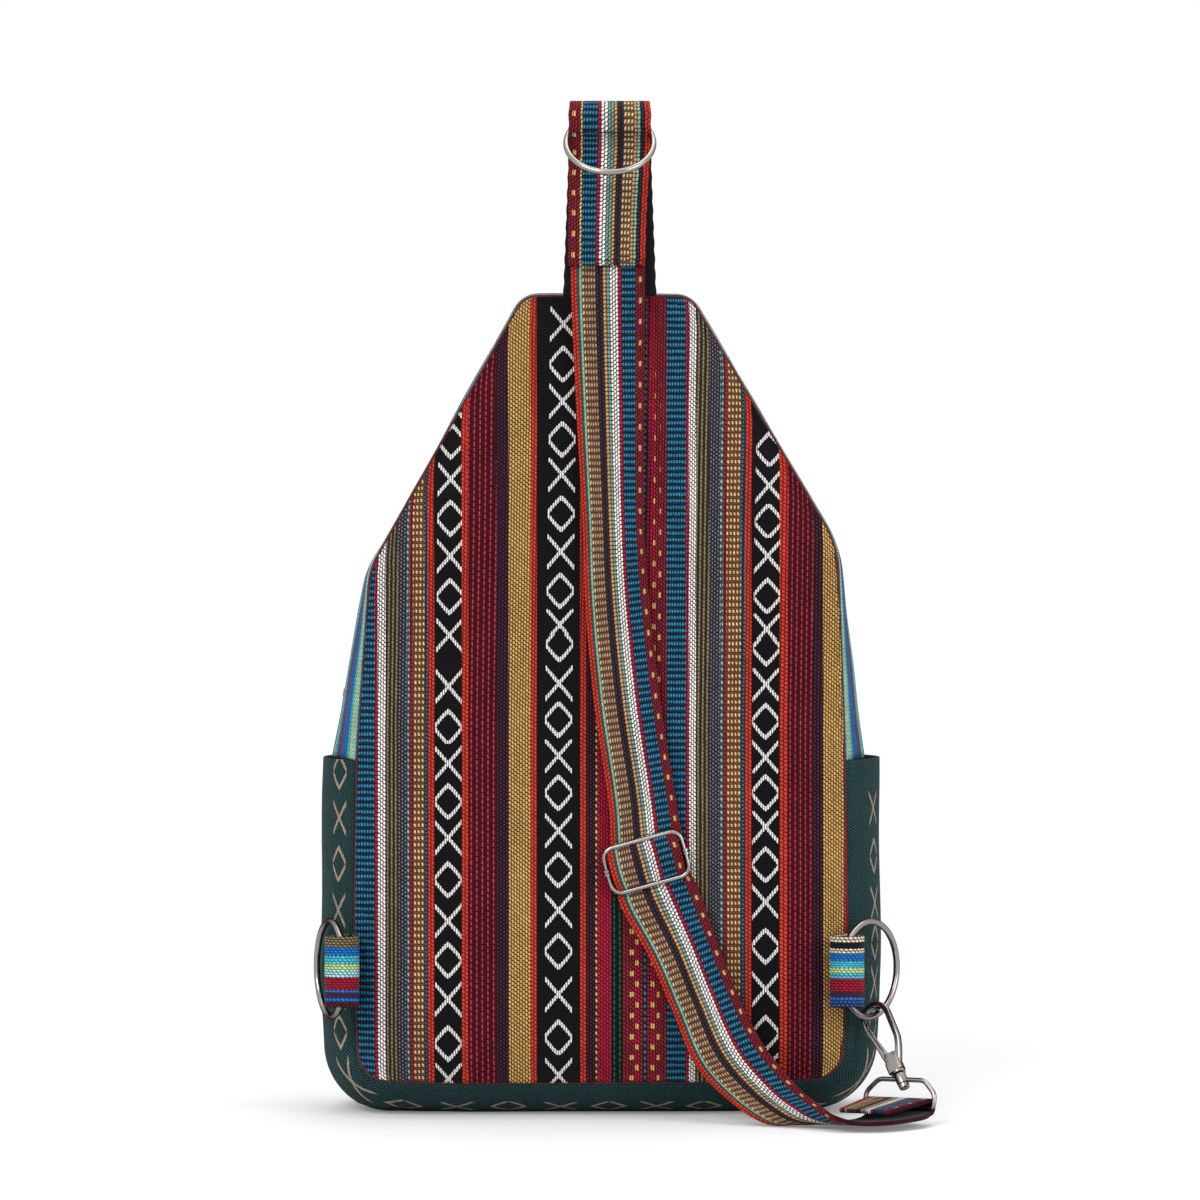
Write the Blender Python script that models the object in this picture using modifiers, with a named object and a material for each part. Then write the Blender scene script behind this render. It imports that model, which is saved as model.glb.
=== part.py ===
"""Woven sling bag, standing on its base and seen from its back.

Metres, +Z up. The padded back panel faces -Y, the pocket side faces +Y, and the
origin is the centre of the flat base. Every cloth panel is a wall of its own, so
the bag is hollow, and neighbouring pieces keep the clearance SEWN_GAP.
"""

import math

import bmesh
import bpy
from mathutils import Matrix, Vector

# Driving sizes of the bag
SEAM_Y = -0.045
BAG_DEPTH = 0.090
TOP_DEPTH = 0.045
TOP_Z = 0.3535
SHOULDER_Z = 0.2464
HIP_Z = 0.154
SEAM_LIFT = 0.014
LOWER_BULGE = 0.0165
BULGE_POWER = 2.5
ZIP_PLACE = 0.78
SEWN_GAP = 0.0003
PANEL_SET_IN = 0.0023

# Walls
PANEL_WALL = 0.0030
GUSSET_WALL = 0.0016
TAPE_WALL = 0.0008
PIPING_RADIUS = 0.0013
BACK_CROWN = 0.0070
FRONT_CROWN = 0.0060
POCKET_FULLNESS = 0.0035
POCKET_WALL_SET_BACK = 0.0030

# Zips
ZIP_HALF_GAP = 0.0040
ZIP_HALF_TAPE = 0.0065
COIL_HALF_WIDTH = 0.0020
COIL_HEIGHT = 0.0012
POCKET_ZIP_Z = 0.1520
SLIDER_WIDTH = 0.0066
SLIDER_LENGTH = 0.0095
SLIDER_BODY = 0.0016
PULL_LIFT = 0.0014
HUMP_HALF_LENGTH = 0.0018
HUMP_OVER = 0.0016
PULL_LENGTH = 0.0200
PULL_WIDTH = 0.0055
PULL_THICKNESS = 0.0012

# Strap and its anchor loop
STRAP_WALL = 0.0016
STRAP_ROW = 0.0150
LOOP_CENTRE_X = 0.0042
LOOP_HALF_WIDTH = 0.0157
LOOP_FOOT_HALF_WIDTH = 0.0200
LOOP_BACK_Y = -0.0450
LOOP_ROLL_Y = -0.0500
LOOP_ROLL_Z = 0.4285
LOOP_ROLL_RADIUS = 0.0078
LOOP_PINCH_DROP = 0.0122
LOOP_PINCH_HALF = 0.0013
LAP_Z = 0.3660
STRAP_Y = -0.0559
STRAP_TOP_Z = 0.3780

# Rings
TOP_RING_RADIUS = 0.0186
TOP_RING_WIRE = 0.0013
TOP_RING_TILT = math.radians(43)
TAB_RING_RADIUS = 0.0205
TAB_RING_WIRE = 0.0014
RIGHT_RING_TURN = math.radians(52)
LEFT_RING_TURN = math.radians(110)

# Side tabs
TAB_HEIGHT = 0.0310
TAB_WALL = 0.0014
TAB_ROLL_RADIUS = 0.0067
TAB_ROLL_Y = -0.0592
TAB_Z = 0.0642
RIGHT_TAB_X = 0.1055
LEFT_TAB_X = -0.1102
TAB_ROOT_X = 0.1070
TAB_PINCH_HALF = 0.0011
TAB_ROOT_Y = -0.0470

# Adjuster
ADJUSTER_CENTRE = Vector((0.0198, -0.0583, 0.1109))
ADJUSTER_TILT = math.radians(15.4)
ADJUSTER_WIDTH = 0.0342
ADJUSTER_HEIGHT = 0.0196
ADJUSTER_CORNER = 0.0045
ADJUSTER_WIRE = 0.0010
COLLAR_RADIUS = 0.0020
COLLAR_HEIGHT = 0.0024

# Strap end, eye and snap hook
FOLD_RADIUS = 0.0028
TAIL_LENGTH = 0.0270
EYE_WIRE = 0.00105
EYE_TOP = Vector((0.1252, -0.0580, 0.0182))
HOOK_PLACE = math.radians(78)
HOOK_TURN = math.radians(-30)
HOOK_JAW_RADIUS = 0.0057
HOOK_ROOM = 0.0018
HOOK_BAR_WIDTH = 0.0026
HOOK_BAR_DEPTH = 0.0030
SHANK_RADIUS = 0.0012
BOSS_RADIUS = 0.0026
BOSS_HALF_HEIGHT = 0.0024
PIVOT_CLEARANCE = 0.00015
GATE_PIN_RADIUS = 0.0006
GATE_PIVOT = Vector((-0.0022, 0.0, 0.0105))

# Corners of the back seam, from the left hip down, round and up to the right hip
LOWER_CORNERS = [
    (-0.1042, HIP_Z),
    (-0.1056, 0.060),
    (-0.1030, 0.0165),
    (0.0, SEAM_LIFT),
    (0.1035, 0.0175),
    (0.1063, 0.070),
    (0.1049, HIP_Z),
]
LOWER_RADII = [0.150, 0.013, 2.0, 0.013, 0.150]
# From the right hip up, over the top and down to the left hip: the bag leans a little
UPPER_CORNERS = [
    (0.1049, HIP_Z),
    (0.1018, SHOULDER_Z),
    (0.0385, TOP_Z),
    (-0.0325, TOP_Z),
    (-0.0925, SHOULDER_Z),
    (-0.1042, HIP_Z),
]
UPPER_RADII = [0.040, 0.010, 0.010, 0.040]

# How far the upper gusset stands out at each height, on the left and on the right
LEFT_BULGE = [(HIP_Z, 0.0125), (0.2176, 0.0100), (SHOULDER_Z, 0.0030), (TOP_Z, 0.0015)]
RIGHT_BULGE = [(HIP_Z, 0.0103), (SHOULDER_Z, 0.0015), (TOP_Z, 0.0015)]

COLOURS = {
    "blue_dash": "#245F80",
    "crimson": "#B01F38",
    "white_twill": "#B5B3AE",
    "khaki": "#6A5D49",
    "slate": "#3A3A46",
    "yellow_dot": "#8C6A45",
    "orange_braid": "#E0452C",
    "black_band": "#141418",
    "red_dash": "#4A1724",
    "aubergine": "#3A2030",
    "gold": "#D0A056",
    "dark_maroon": "#30131F",
    "dark_green": "#1E4034",
    "maroon": "#6B2030",
    "turquoise": "#3FB4C8",
    "bright_blue": "#1E5FA8",
    "lime": "#B9CC6A",
    "cream": "#D8C9A8",
    "teal_green": "#23474A",
    "lining": "#16161C",
    "piping": "#6E2A22",
    "zip_tape": "#1B2426",
    "green_white": "#5FA08A",
    "gold_check": "#8A6540",
}

# Back cloth, left to right: stripe and width in millimetres
BACK_CLOTH = [
    ("blue_dash", 9.9), ("crimson", 0.9), ("white_twill", 3.4), ("khaki", 5.6),
    ("slate", 3.9), ("yellow_dot", 7.3), ("orange_braid", 4.3), ("black_band", 12.0),
    ("orange_braid", 3.4), ("red_dash", 11.2), ("aubergine", 5.2), ("gold", 9.5),
    ("orange_braid", 2.6), ("black_band", 18.5), ("orange_braid", 2.6), ("dark_maroon", 4.7),
    ("crimson", 6.0), ("dark_green", 4.7), ("maroon", 18.9), ("blue_dash", 7.7),
    ("crimson", 1.7), ("white_twill", 3.0), ("khaki", 5.6), ("slate", 4.7),
    ("yellow_dot", 9.0), ("orange_braid", 4.3), ("black_band", 12.5), ("orange_braid", 4.3),
    ("red_dash", 9.9), ("aubergine", 4.3), ("gold", 10.3),
]
# Bright cloth of the front, left to right
FRONT_CLOTH = [
    ("bright_blue", 18), ("turquoise", 22), ("lime", 12), ("turquoise", 20), ("crimson", 8),
    ("bright_blue", 26), ("crimson", 8), ("turquoise", 20), ("lime", 12), ("turquoise", 22),
    ("bright_blue", 15), ("bright_blue", 15), ("bright_blue", 14),
]
# Strap cloth, from the orange edge to the maroon edge
STRAP_CLOTH = [
    ("orange_braid", 2.2), ("green_white", 2.0), ("gold_check", 7.4), ("slate", 4.4),
    ("green_white", 1.3), ("white_twill", 3.4), ("crimson", 1.0), ("blue_dash", 4.9),
    ("maroon", 5.4),
]
# Tab cloth, top to bottom
TAB_CLOTH = [
    ("cream", 4), ("slate", 3), ("bright_blue", 5), ("turquoise", 4), ("lime", 3),
    ("turquoise", 3), ("crimson", 6), ("aubergine", 5),
]

# Edges of the hanging strap: left edge and right edge, down to the floor and the fold
STRAP_EDGES = [
    ((-0.0126, STRAP_Y, STRAP_TOP_Z), (0.0194, STRAP_Y, STRAP_TOP_Z)),
    ((-0.0124, STRAP_Y, 0.3520), (0.0193, STRAP_Y, 0.3520)),
    ((-0.0100, STRAP_Y, 0.3000), (0.0190, STRAP_Y, 0.3000)),
    ((-0.0077, STRAP_Y, 0.2570), (0.0190, STRAP_Y, 0.2570)),
    ((-0.0064, STRAP_Y, 0.2210), (0.0210, STRAP_Y, 0.2250)),
    ((-0.0026, STRAP_Y, 0.1780), (0.0257, STRAP_Y, 0.1820)),
    ((0.0034, STRAP_Y, 0.1370), (0.0317, STRAP_Y, 0.1430)),
]
STRAP_FALL = [
    ((0.0093, -0.0559, 0.0905), (0.0424, -0.0565, 0.0990)),
    ((0.0210, -0.0572, 0.0700), (0.0488, -0.0582, 0.0809)),
    ((0.0308, -0.0590, 0.0475), (0.0574, -0.0610, 0.0583)),
    ((0.0410, -0.0620, 0.0241), (0.0687, -0.0665, 0.0352)),
    ((0.0552, -0.0700, 0.0099), (0.0836, -0.0780, 0.0171)),
    ((0.0694, -0.0760, 0.0020), (0.0933, -0.0910, 0.0100)),
    ((0.0840, -0.0740, 0.0012), (0.0995, -0.0985, 0.0060)),
    ((0.0970, -0.0710, 0.0012), (0.1090, -0.1010, 0.0040)),
    ((0.1065, -0.0695, 0.0014), (0.1220, -0.0980, 0.0040)),
    ((0.1120, -0.0630, 0.0022), (0.1357, -0.0850, 0.0045)),
    ((0.1148, -0.0532, 0.0040), (0.1404, -0.0724, 0.0050)),
]
# Where the strap's end is cut, after it has come back through the eye
TAIL_END = (Vector((0.1015, -0.0740, 0.0066)), Vector((0.1215, -0.0930, 0.0078)))


def clear_scene():
    for thing in list(bpy.data.objects):
        bpy.data.objects.remove(thing)


def collection(name):
    made = bpy.data.collections.new(name)
    bpy.context.scene.collection.children.link(made)
    return made


def linear(channel):
    return channel / 12.92 if channel <= 0.04045 else ((channel + 0.055) / 1.055) ** 2.4


def material(name, colour, roughness, metallic=0.0):
    made = bpy.data.materials.get(name)
    if made:
        return made
    made = bpy.data.materials.new(name)
    made.use_nodes = True
    shader = made.node_tree.nodes["Principled BSDF"]
    parts = [linear(int(colour[i : i + 2], 16) / 255) for i in (1, 3, 5)]
    shader.inputs["Base Color"].default_value = (*parts, 1)
    shader.inputs["Roughness"].default_value = roughness
    shader.inputs["Metallic"].default_value = metallic
    return made


def cloth(name):
    return material(name, COLOURS[name], 0.9)


def nickel():
    return material("brushed_nickel", "#B8B0A8", 0.3, 1.0)


def settle(thing, home):
    """Moves an object into the collection of the part."""
    for old in list(thing.users_collection):
        old.objects.unlink(thing)
    home.objects.link(thing)
    return thing


def smooth(mesh):
    mesh.shade_smooth()
    mesh.set_sharp_from_angle(angle=math.radians(40))


def interpolate(table, at):
    """Straight interpolation in a short table of (place, value)."""
    if at <= table[0][0]:
        return table[0][1]
    for (a, low), (b, high) in zip(table, table[1:]):
        if at <= b:
            return low + (high - low) * (at - a) / (b - a)
    return table[-1][1]


def rounded(corners, radii, longest, closed=False):
    """A polyline through corners in 2D with an arc at each inner corner."""
    corners = [Vector(corner) for corner in corners]
    if closed:
        corners = [corners[-1], *corners, corners[0]]
    points = [] if closed else [corners[0]]
    for before, at, after, radius in zip(corners, corners[1:], corners[2:], radii):
        inward = (before - at).normalized()
        onward = (after - at).normalized()
        half = inward.angle(onward) / 2
        reach = radius / math.tan(half)
        centre = at + (inward + onward).normalized() * radius / math.sin(half)
        start = at + inward * reach - centre
        turn = start.angle_signed(at + onward * reach - centre)
        steps = max(1, math.ceil(abs(turn) / math.radians(24)))
        for step in range(steps + 1):
            angle = -turn * step / steps
            spun = Matrix.Rotation(angle, 2) @ start
            points.append(centre + spun)
    if not closed:
        points.append(corners[-1])
    return divided(points, longest)


def divided(points, longest):
    """The same polyline with long stretches split."""
    done = [points[0]]
    for a, b in zip(points, points[1:]):
        steps = max(1, math.ceil((b - a).length / longest - 1e-6))
        done.extend(a + (b - a) * step / steps for step in range(1, steps + 1))
    return done


def outward_normals(points):
    normals = []
    last = len(points) - 1
    for i in range(len(points)):
        along = points[min(i + 1, last)] - points[max(i - 1, 0)]
        normals.append(Vector((along.y, -along.x)).normalized())
    return normals


def depth_at(z):
    """Front to back depth of the bag: full below the hip, tapering to the top."""
    return interpolate([(HIP_Z, BAG_DEPTH), (TOP_Z, TOP_DEPTH)], z)


def lower_outline():
    return rounded(LOWER_CORNERS, LOWER_RADII, 0.040)


def upper_outline():
    return rounded(UPPER_CORNERS, UPPER_RADII, 0.034)


def seam_loop():
    """The whole back seam as one closed ring of 2D points."""
    return lower_outline()[:-1] + upper_outline()[:-1]


def bulge_at(point, lower):
    if lower:
        return LOWER_BULGE
    return interpolate(LEFT_BULGE if point.x < 0 else RIGHT_BULGE, point.y)


def gusset_point(point, normal, place, lower, sunk=0.0):
    """A point of the gusset, place 0 at the back seam and 1 at the front seam."""
    swell = bulge_at(point, lower) * (1 - abs(2 * place - 1) ** BULGE_POWER)
    out = point + normal * (swell - sunk)
    y = SEAM_Y + place * depth_at(point.y)
    return Vector((out.x, y, max(out.y, GUSSET_WALL / 2)))


def sheet(name, home, grid, wall, fabrics, lining=None):
    """A wall of cloth from a grid of points, one fabric for each column of the grid."""
    mesh = bpy.data.meshes.new(name)
    made = bpy.data.objects.new(name, mesh)
    home.objects.link(made)
    work = bmesh.new()
    rows = [[work.verts.new(point) for point in row] for row in grid]
    used = list(dict.fromkeys(fabrics))
    for low, high in zip(rows, rows[1:]):
        for i, fabric in enumerate(fabrics):
            face = work.faces.new((low[i], low[i + 1], high[i + 1], high[i]))
            face.material_index = used.index(fabric)
    work.to_mesh(mesh)
    work.free()
    for fabric in used:
        mesh.materials.append(cloth(fabric))
    if lining:
        for _ in used:
            mesh.materials.append(cloth(lining))
    mesh.shade_smooth()
    shell = made.modifiers.new("wall", "SOLIDIFY")
    shell.thickness = wall
    shell.offset = 0
    shell.use_even_offset = True
    shell.use_quality_normals = True
    if lining:
        shell.material_offset = len(used)
    return made


def heights_at(loop, x):
    """Lowest and highest crossing of a closed 2D ring with an upright line."""
    found = []
    for a, b in zip(loop, loop[1:] + loop[:1]):
        if (a.x - x) * (b.x - x) <= 0 and a.x != b.x:
            found.append(a.y + (b.y - a.y) * (x - a.x) / (b.x - a.x))
    return min(found), max(found)


def inset_loop(distance):
    loop = seam_loop()
    ring = [loop[-1], *loop, loop[0]]
    return [p - n * distance for p, n in zip(loop, outward_normals(ring)[1:-1])]


def stripe_columns(stripes, left, right):
    """Borders and fabrics of stripes that fill left to right, with edge columns added."""
    total = sum(width for _, width in stripes)
    borders = [left]
    for _, width in stripes:
        borders.append(borders[-1] + width / total * (right - left))
    columns, fabrics = [borders[0]], []
    edges = [left + step for step in (0.0010, 0.0030, 0.0060)]
    edges += [right - step for step in (0.0060, 0.0030, 0.0010)]
    for (fabric, _), start, end in zip(stripes, borders, borders[1:]):
        inside = [edge for edge in edges if start + 0.0004 < edge < end - 0.0004]
        columns.extend([*inside, end])
        fabrics.extend([fabric] * (len(inside) + 1))
    return columns, fabrics


def panel_grid(loop, columns, low_z, high_z, rows, surface):
    """Rows of points over the part of a seam ring between two heights."""
    grid = []
    for row in range(rows + 1):
        share = (1 - math.cos(math.pi * row / rows)) / 2
        line = []
        for x in columns:
            low, high = heights_at(loop, x)
            low, high = max(low, low_z), min(high, high_z)
            z = low + (high - low) * share
            line.append(Vector((x, surface(x, z), z)))
        grid.append(line)
    return grid


def plateau(loop, x, z):
    """1 over the middle of a panel, falling to 0 at its seams."""
    low, high = heights_at(loop, x)
    left, right = span_at(loop, z)
    near = min(x - left, right - x, high - z, z - low)
    share = max(0.0, min(1.0, near / 0.030))
    return share * (2 - share)


def span_at(loop, z):
    """Left and right crossing of a closed 2D ring with a level line."""
    found = []
    for a, b in zip(loop, loop[1:] + loop[:1]):
        if (a.y - z) * (b.y - z) <= 0 and a.y != b.y:
            found.append(a.x + (b.x - a.x) * (z - a.y) / (b.y - a.y))
    return (min(found), max(found)) if found else (0.0, 0.0)


def back_panel(home):
    loop = inset_loop(PANEL_SET_IN)
    left = min(p.x for p in loop) + 0.0004
    right = max(p.x for p in loop) - 0.0004
    columns, fabrics = stripe_columns(BACK_CLOTH, left, right)
    grid = panel_grid(
        loop, columns, 0, TOP_Z, 8,
        lambda x, z: SEAM_Y - BACK_CROWN * plateau(loop, x, z),
    )
    return sheet("back_panel", home, grid, PANEL_WALL, fabrics, "lining")


def front_y(x, z, loop, crown):
    return SEAM_Y + depth_at(z) + crown * plateau(loop, x, z)


def pocket_swell(x, z, loop):
    """How far the pocket stands out past the front above it, most at its middle."""
    return POCKET_FULLNESS * plateau(loop, x, z) * math.sin(math.pi * z / POCKET_ZIP_Z)


def front_panels(home):
    """The striped upper front and the pocket with its zip between them."""
    loop = inset_loop(PANEL_SET_IN)
    left = min(p.x for p in loop) + 0.0004
    right = max(p.x for p in loop) - 0.0004
    over = POCKET_ZIP_Z + ZIP_HALF_GAP
    top_left, top_right = span_at(loop, over)
    columns, fabrics = stripe_columns(FRONT_CLOTH, top_left + 0.0003, top_right - 0.0003)
    grid = panel_grid(
        loop, columns, over, TOP_Z, 5, lambda x, z: front_y(x, z, loop, FRONT_CROWN)
    )
    sheet("front_panel", home, grid, GUSSET_WALL, fabrics, "lining")
    green = [("teal_green", 1)] * 7
    columns, fabrics = stripe_columns(green, left, right)
    grid = panel_grid(
        loop, columns, 0, POCKET_ZIP_Z - ZIP_HALF_GAP, 6,
        lambda x, z: front_y(x, z, loop, FRONT_CROWN) + pocket_swell(x, z, loop),
    )
    sheet("front_pocket", home, grid, GUSSET_WALL, fabrics, "lining")
    wide = inset_loop(-0.0008)
    left, right = min(p.x for p in wide) + 0.0006, max(p.x for p in wide) - 0.0006
    columns, fabrics = stripe_columns([("lining", 1)] * 3, left, right)
    grid = panel_grid(
        wide, columns, 0, HIP_Z - 2 * SEWN_GAP, 3,
        lambda x, z: SEAM_Y + depth_at(z) - POCKET_WALL_SET_BACK,
    )
    sheet("pocket_back_wall", home, grid, TAPE_WALL, fabrics)


def gusset_grid(outline, places, lower, sunk=0.0):
    normals = outward_normals(outline)
    return [
        [gusset_point(p, n, place(p), lower, sunk) for place in places]
        for p, n in zip(outline, normals)
    ]


def trimmed(outline, cut):
    """The outline without a short stretch at each end."""
    done = list(outline)
    done[0] = done[0] + (done[1] - done[0]).normalized() * cut
    done[-1] = done[-1] + (done[-2] - done[-1]).normalized() * cut
    return done


def from_back(distance):
    return lambda p: distance / depth_at(p.y)


def from_front(distance):
    return lambda p: 1 - distance / depth_at(p.y)


def from_zip(distance):
    return lambda p: ZIP_PLACE + distance / depth_at(p.y)


def between(start, end, share):
    return lambda p: start(p) + (end(p) - start(p)) * share


def gussets(home):
    edge = PIPING_RADIUS + SEWN_GAP
    start, end = from_back(edge), from_front(edge)
    # The middle columns lie flat on the floor, where the bag stands
    shares = (0, 0.06, 0.17, 0.30, 0.53, 0.70, 0.83, 0.94, 1)
    places = [between(start, end, share) for share in shares]
    grid = gusset_grid(trimmed(lower_outline(), SEWN_GAP), places, True)
    sheet("lower_gusset", home, grid, GUSSET_WALL, ["teal_green"] * (len(shares) - 1), "lining")
    outline = trimmed(upper_outline(), SEWN_GAP)
    stop = from_zip(-ZIP_HALF_GAP)
    places = [between(start, stop, share) for share in (0, 0.1, 0.26, 0.48, 0.74, 1)]
    bright = ["bright_blue", "turquoise", "lime", "turquoise", "crimson"]
    sheet("upper_gusset_back", home, gusset_grid(outline, places, False), GUSSET_WALL, bright, "lining")
    begin = from_zip(ZIP_HALF_GAP)
    places = [between(begin, end, share) for share in (0, 0.5, 1)]
    sheet(
        "upper_gusset_front", home, gusset_grid(outline, places, False),
        GUSSET_WALL, ["turquoise", "bright_blue"], "lining",
    )


def zip_profile():
    """Offsets across a zip tape and how far each one is raised by the coil."""
    step = COIL_HALF_WIDTH * 0.8
    return [
        (-ZIP_HALF_TAPE, 0), (-COIL_HALF_WIDTH, 0), (-step, COIL_HEIGHT),
        (step, COIL_HEIGHT), (COIL_HALF_WIDTH, 0), (ZIP_HALF_TAPE, 0),
    ]


def tape_sunk():
    """How far below the cloth a zip tape lies."""
    return (GUSSET_WALL + TAPE_WALL) / 2 + 2 * SEWN_GAP


def main_zip(home):
    outline = trimmed(upper_outline(), SEWN_GAP)
    normals = outward_normals(outline)
    grid = [
        [
            gusset_point(p, n, from_zip(across)(p), False, tape_sunk() - raised)
            for across, raised in zip_profile()
        ]
        for p, n in zip(outline, normals)
    ]
    return sheet("main_zip_tape", home, grid, TAPE_WALL, ["zip_tape"] * 5)


def pocket_zip(home):
    loop = inset_loop(PANEL_SET_IN)
    left, right = span_at(loop, POCKET_ZIP_Z)
    grid = []
    steps = 9
    for step in range(steps + 1):
        x = left + 0.0006 + (right - left - 0.0012) * step / steps
        line = []
        for across, raised in zip_profile():
            z = POCKET_ZIP_Z - across
            line.append(Vector((x, front_y(x, z, loop, FRONT_CROWN) - tape_sunk() + raised, z)))
        grid.append(line)
    return sheet("pocket_zip_tape", home, grid, TAPE_WALL, ["zip_tape"] * 5)


def tube(name, home, points, radius, resolution, closed, look):
    """A wire or cord along points, as a curve with a round section."""
    curve = bpy.data.curves.new(name, "CURVE")
    curve.dimensions = "3D"
    curve.bevel_depth = radius
    curve.bevel_resolution = resolution
    curve.use_fill_caps = True
    spline = curve.splines.new("POLY")
    spline.points.add(len(points) - 1)
    for target, point in zip(spline.points, points):
        target.co = (*point, 1)
    spline.use_cyclic_u = closed
    spline.use_smooth = True
    made = bpy.data.objects.new(name, curve)
    made.data.materials.append(look)
    home.objects.link(made)
    return made


def pipings(home):
    loop = seam_loop()
    back = [Vector((p.x, SEAM_Y, p.y)) for p in loop]
    front = [Vector((p.x, SEAM_Y + depth_at(p.y), p.y)) for p in loop]
    tube("back_piping", home, back, PIPING_RADIUS, 0, True, cloth("piping"))
    tube("front_piping", home, front, PIPING_RADIUS, 0, True, cloth("piping"))


def teardrop(centre, radius, pinch_half, pinch_drop, steps):
    """Half a turn and more round a roll, from one pinched leg to the other, in 2D."""
    far = math.hypot(pinch_half, pinch_drop)
    start = math.atan2(pinch_half, pinch_drop) + math.acos(radius / far)
    angles = [start + (2 * math.pi - 2 * start) * i / steps for i in range(steps + 1)]
    return [centre + Vector((math.sin(a), -math.cos(a))) * radius for a in angles]


def anchor_loop(home):
    """The strap piece that stands on the top seam, rolls over the ring and comes down."""
    roll = Vector((LOOP_ROLL_Y, LOOP_ROLL_Z))
    pinch_z = LOOP_ROLL_Z - LOOP_PINCH_DROP
    foot_z = TOP_Z + PIPING_RADIUS + SEWN_GAP
    lap_y = STRAP_Y - STRAP_WALL - SEWN_GAP
    back = [
        Vector((LOOP_BACK_Y, foot_z)),
        Vector((LOOP_BACK_Y - 0.0003, foot_z + 0.012)),
        Vector((LOOP_ROLL_Y + 0.0032, (foot_z + pinch_z) / 2)),
        Vector((LOOP_ROLL_Y + LOOP_PINCH_HALF, pinch_z)),
    ]
    round_roll = teardrop(roll, LOOP_ROLL_RADIUS, LOOP_PINCH_HALF, LOOP_PINCH_DROP, 10)
    front = [
        Vector((LOOP_ROLL_Y - LOOP_PINCH_HALF, pinch_z)),
        Vector((LOOP_ROLL_Y - 0.0046, (STRAP_TOP_Z + pinch_z) / 2)),
        Vector((lap_y, STRAP_TOP_Z + 0.002)),
        Vector((lap_y, LAP_Z)),
    ]
    profile = back + round_roll + front
    total = sum(width for _, width in STRAP_CLOTH)
    shares = [0.0]
    for _, width in reversed(STRAP_CLOTH):
        shares.append(shares[-1] + width / total)
    grid = []
    for i, point in enumerate(profile):
        rise = (point.y - foot_z) / (pinch_z - foot_z)
        spread = 1 - min(1.0, rise)
        half = LOOP_HALF_WIDTH - 0.0003
        if i < len(back):
            half += (LOOP_FOOT_HALF_WIDTH - LOOP_HALF_WIDTH) * spread
        grid.append([
            Vector((LOOP_CENTRE_X + half * (2 * share - 1), point.x, point.y)) for share in shares
        ])
    fabrics = [fabric for fabric, _ in reversed(STRAP_CLOTH)]
    return sheet("strap_anchor_loop", home, grid, STRAP_WALL, fabrics, "lining")


def adjuster_axes():
    """Along the frame's long side, up its short side, and the place of its centre."""
    across = Vector((math.cos(ADJUSTER_TILT), 0, math.sin(ADJUSTER_TILT)))
    up = Vector((-math.sin(ADJUSTER_TILT), 0, math.cos(ADJUSTER_TILT)))
    return across, up, ADJUSTER_CENTRE


def weave_through():
    """Edges of the strap under the top wire, over the bar and under the bottom wire."""
    across, up, centre = adjuster_axes()
    reach = ADJUSTER_HEIGHT / 2
    behind = ADJUSTER_WIRE + STRAP_WALL / 2 + 3 * SEWN_GAP
    rows = []
    for height, shift in ((1.0, 1), (0.5, 0.1), (0.0, -1), (-0.5, 0.1), (-1.0, 1)):
        middle = centre + up * reach * height
        half = 0.0140 + 0.0016 * (1 - abs(height))
        lean = Vector((0, behind * shift, 0))
        rows.append((middle - across * half + lean, middle + across * half + lean))
    return rows


def catmull(a, b, c, d, share):
    return 0.5 * (
        2 * b + (c - a) * share + (2 * a - 5 * b + 4 * c - d) * share**2
        + (3 * b - a - 3 * c + d) * share**3
    )


def strap_rows():
    """Left and right edge of the strap, row by row, from the lap seam to the cut end."""
    stations = [(Vector(a), Vector(b)) for a, b in STRAP_EDGES]
    stations += weave_through()
    stations += [(Vector(a), Vector(b)) for a, b in STRAP_FALL]
    padded = [stations[0], *stations, stations[-1]]
    rows = [stations[0]]
    for i in range(len(stations) - 1):
        a, b, c, d = padded[i : i + 4]
        length = ((c[0] + c[1]) / 2 - (b[0] + b[1]) / 2).length
        steps = max(1, round(length / STRAP_ROW))
        for step in range(1, steps + 1):
            rows.append(tuple(catmull(a[s], b[s], c[s], d[s], step / steps) for s in (0, 1)))
    return rows


def fold_axes():
    """Centre line of the strap's last fold: its two ends and the way the strap runs."""
    left, right = (Vector(end) for end in STRAP_FALL[-1])
    across = (right - left).normalized()
    onward = Vector((0, 0, 1)).cross(across).normalized()
    lift = across.cross(onward)
    lift = lift if lift.z > 0 else -lift
    return left + lift * FOLD_RADIUS, right + lift * FOLD_RADIUS, onward, lift


def shoulder_strap(home):
    rows = strap_rows()
    left, right, onward, lift = fold_axes()
    for step in range(1, 6):
        angle = math.pi * step / 5
        swing = (onward * math.sin(angle) - lift * math.cos(angle)) * FOLD_RADIUS
        rows.append((left + swing, right + swing))
    last = rows[-1]
    for share in (0.35, 0.7, 1.0):
        rows.append(tuple(last[s].lerp(TAIL_END[s], share) for s in (0, 1)))
    total = sum(width for _, width in STRAP_CLOTH)
    shares = [0.0]
    for _, width in STRAP_CLOTH:
        shares.append(shares[-1] + width / total)
    grid = [[a.lerp(b, share) for share in shares] for a, b in rows]
    fabrics = [fabric for fabric, _ in STRAP_CLOTH]
    return sheet("shoulder_strap", home, grid, STRAP_WALL, fabrics, "lining")


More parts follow.
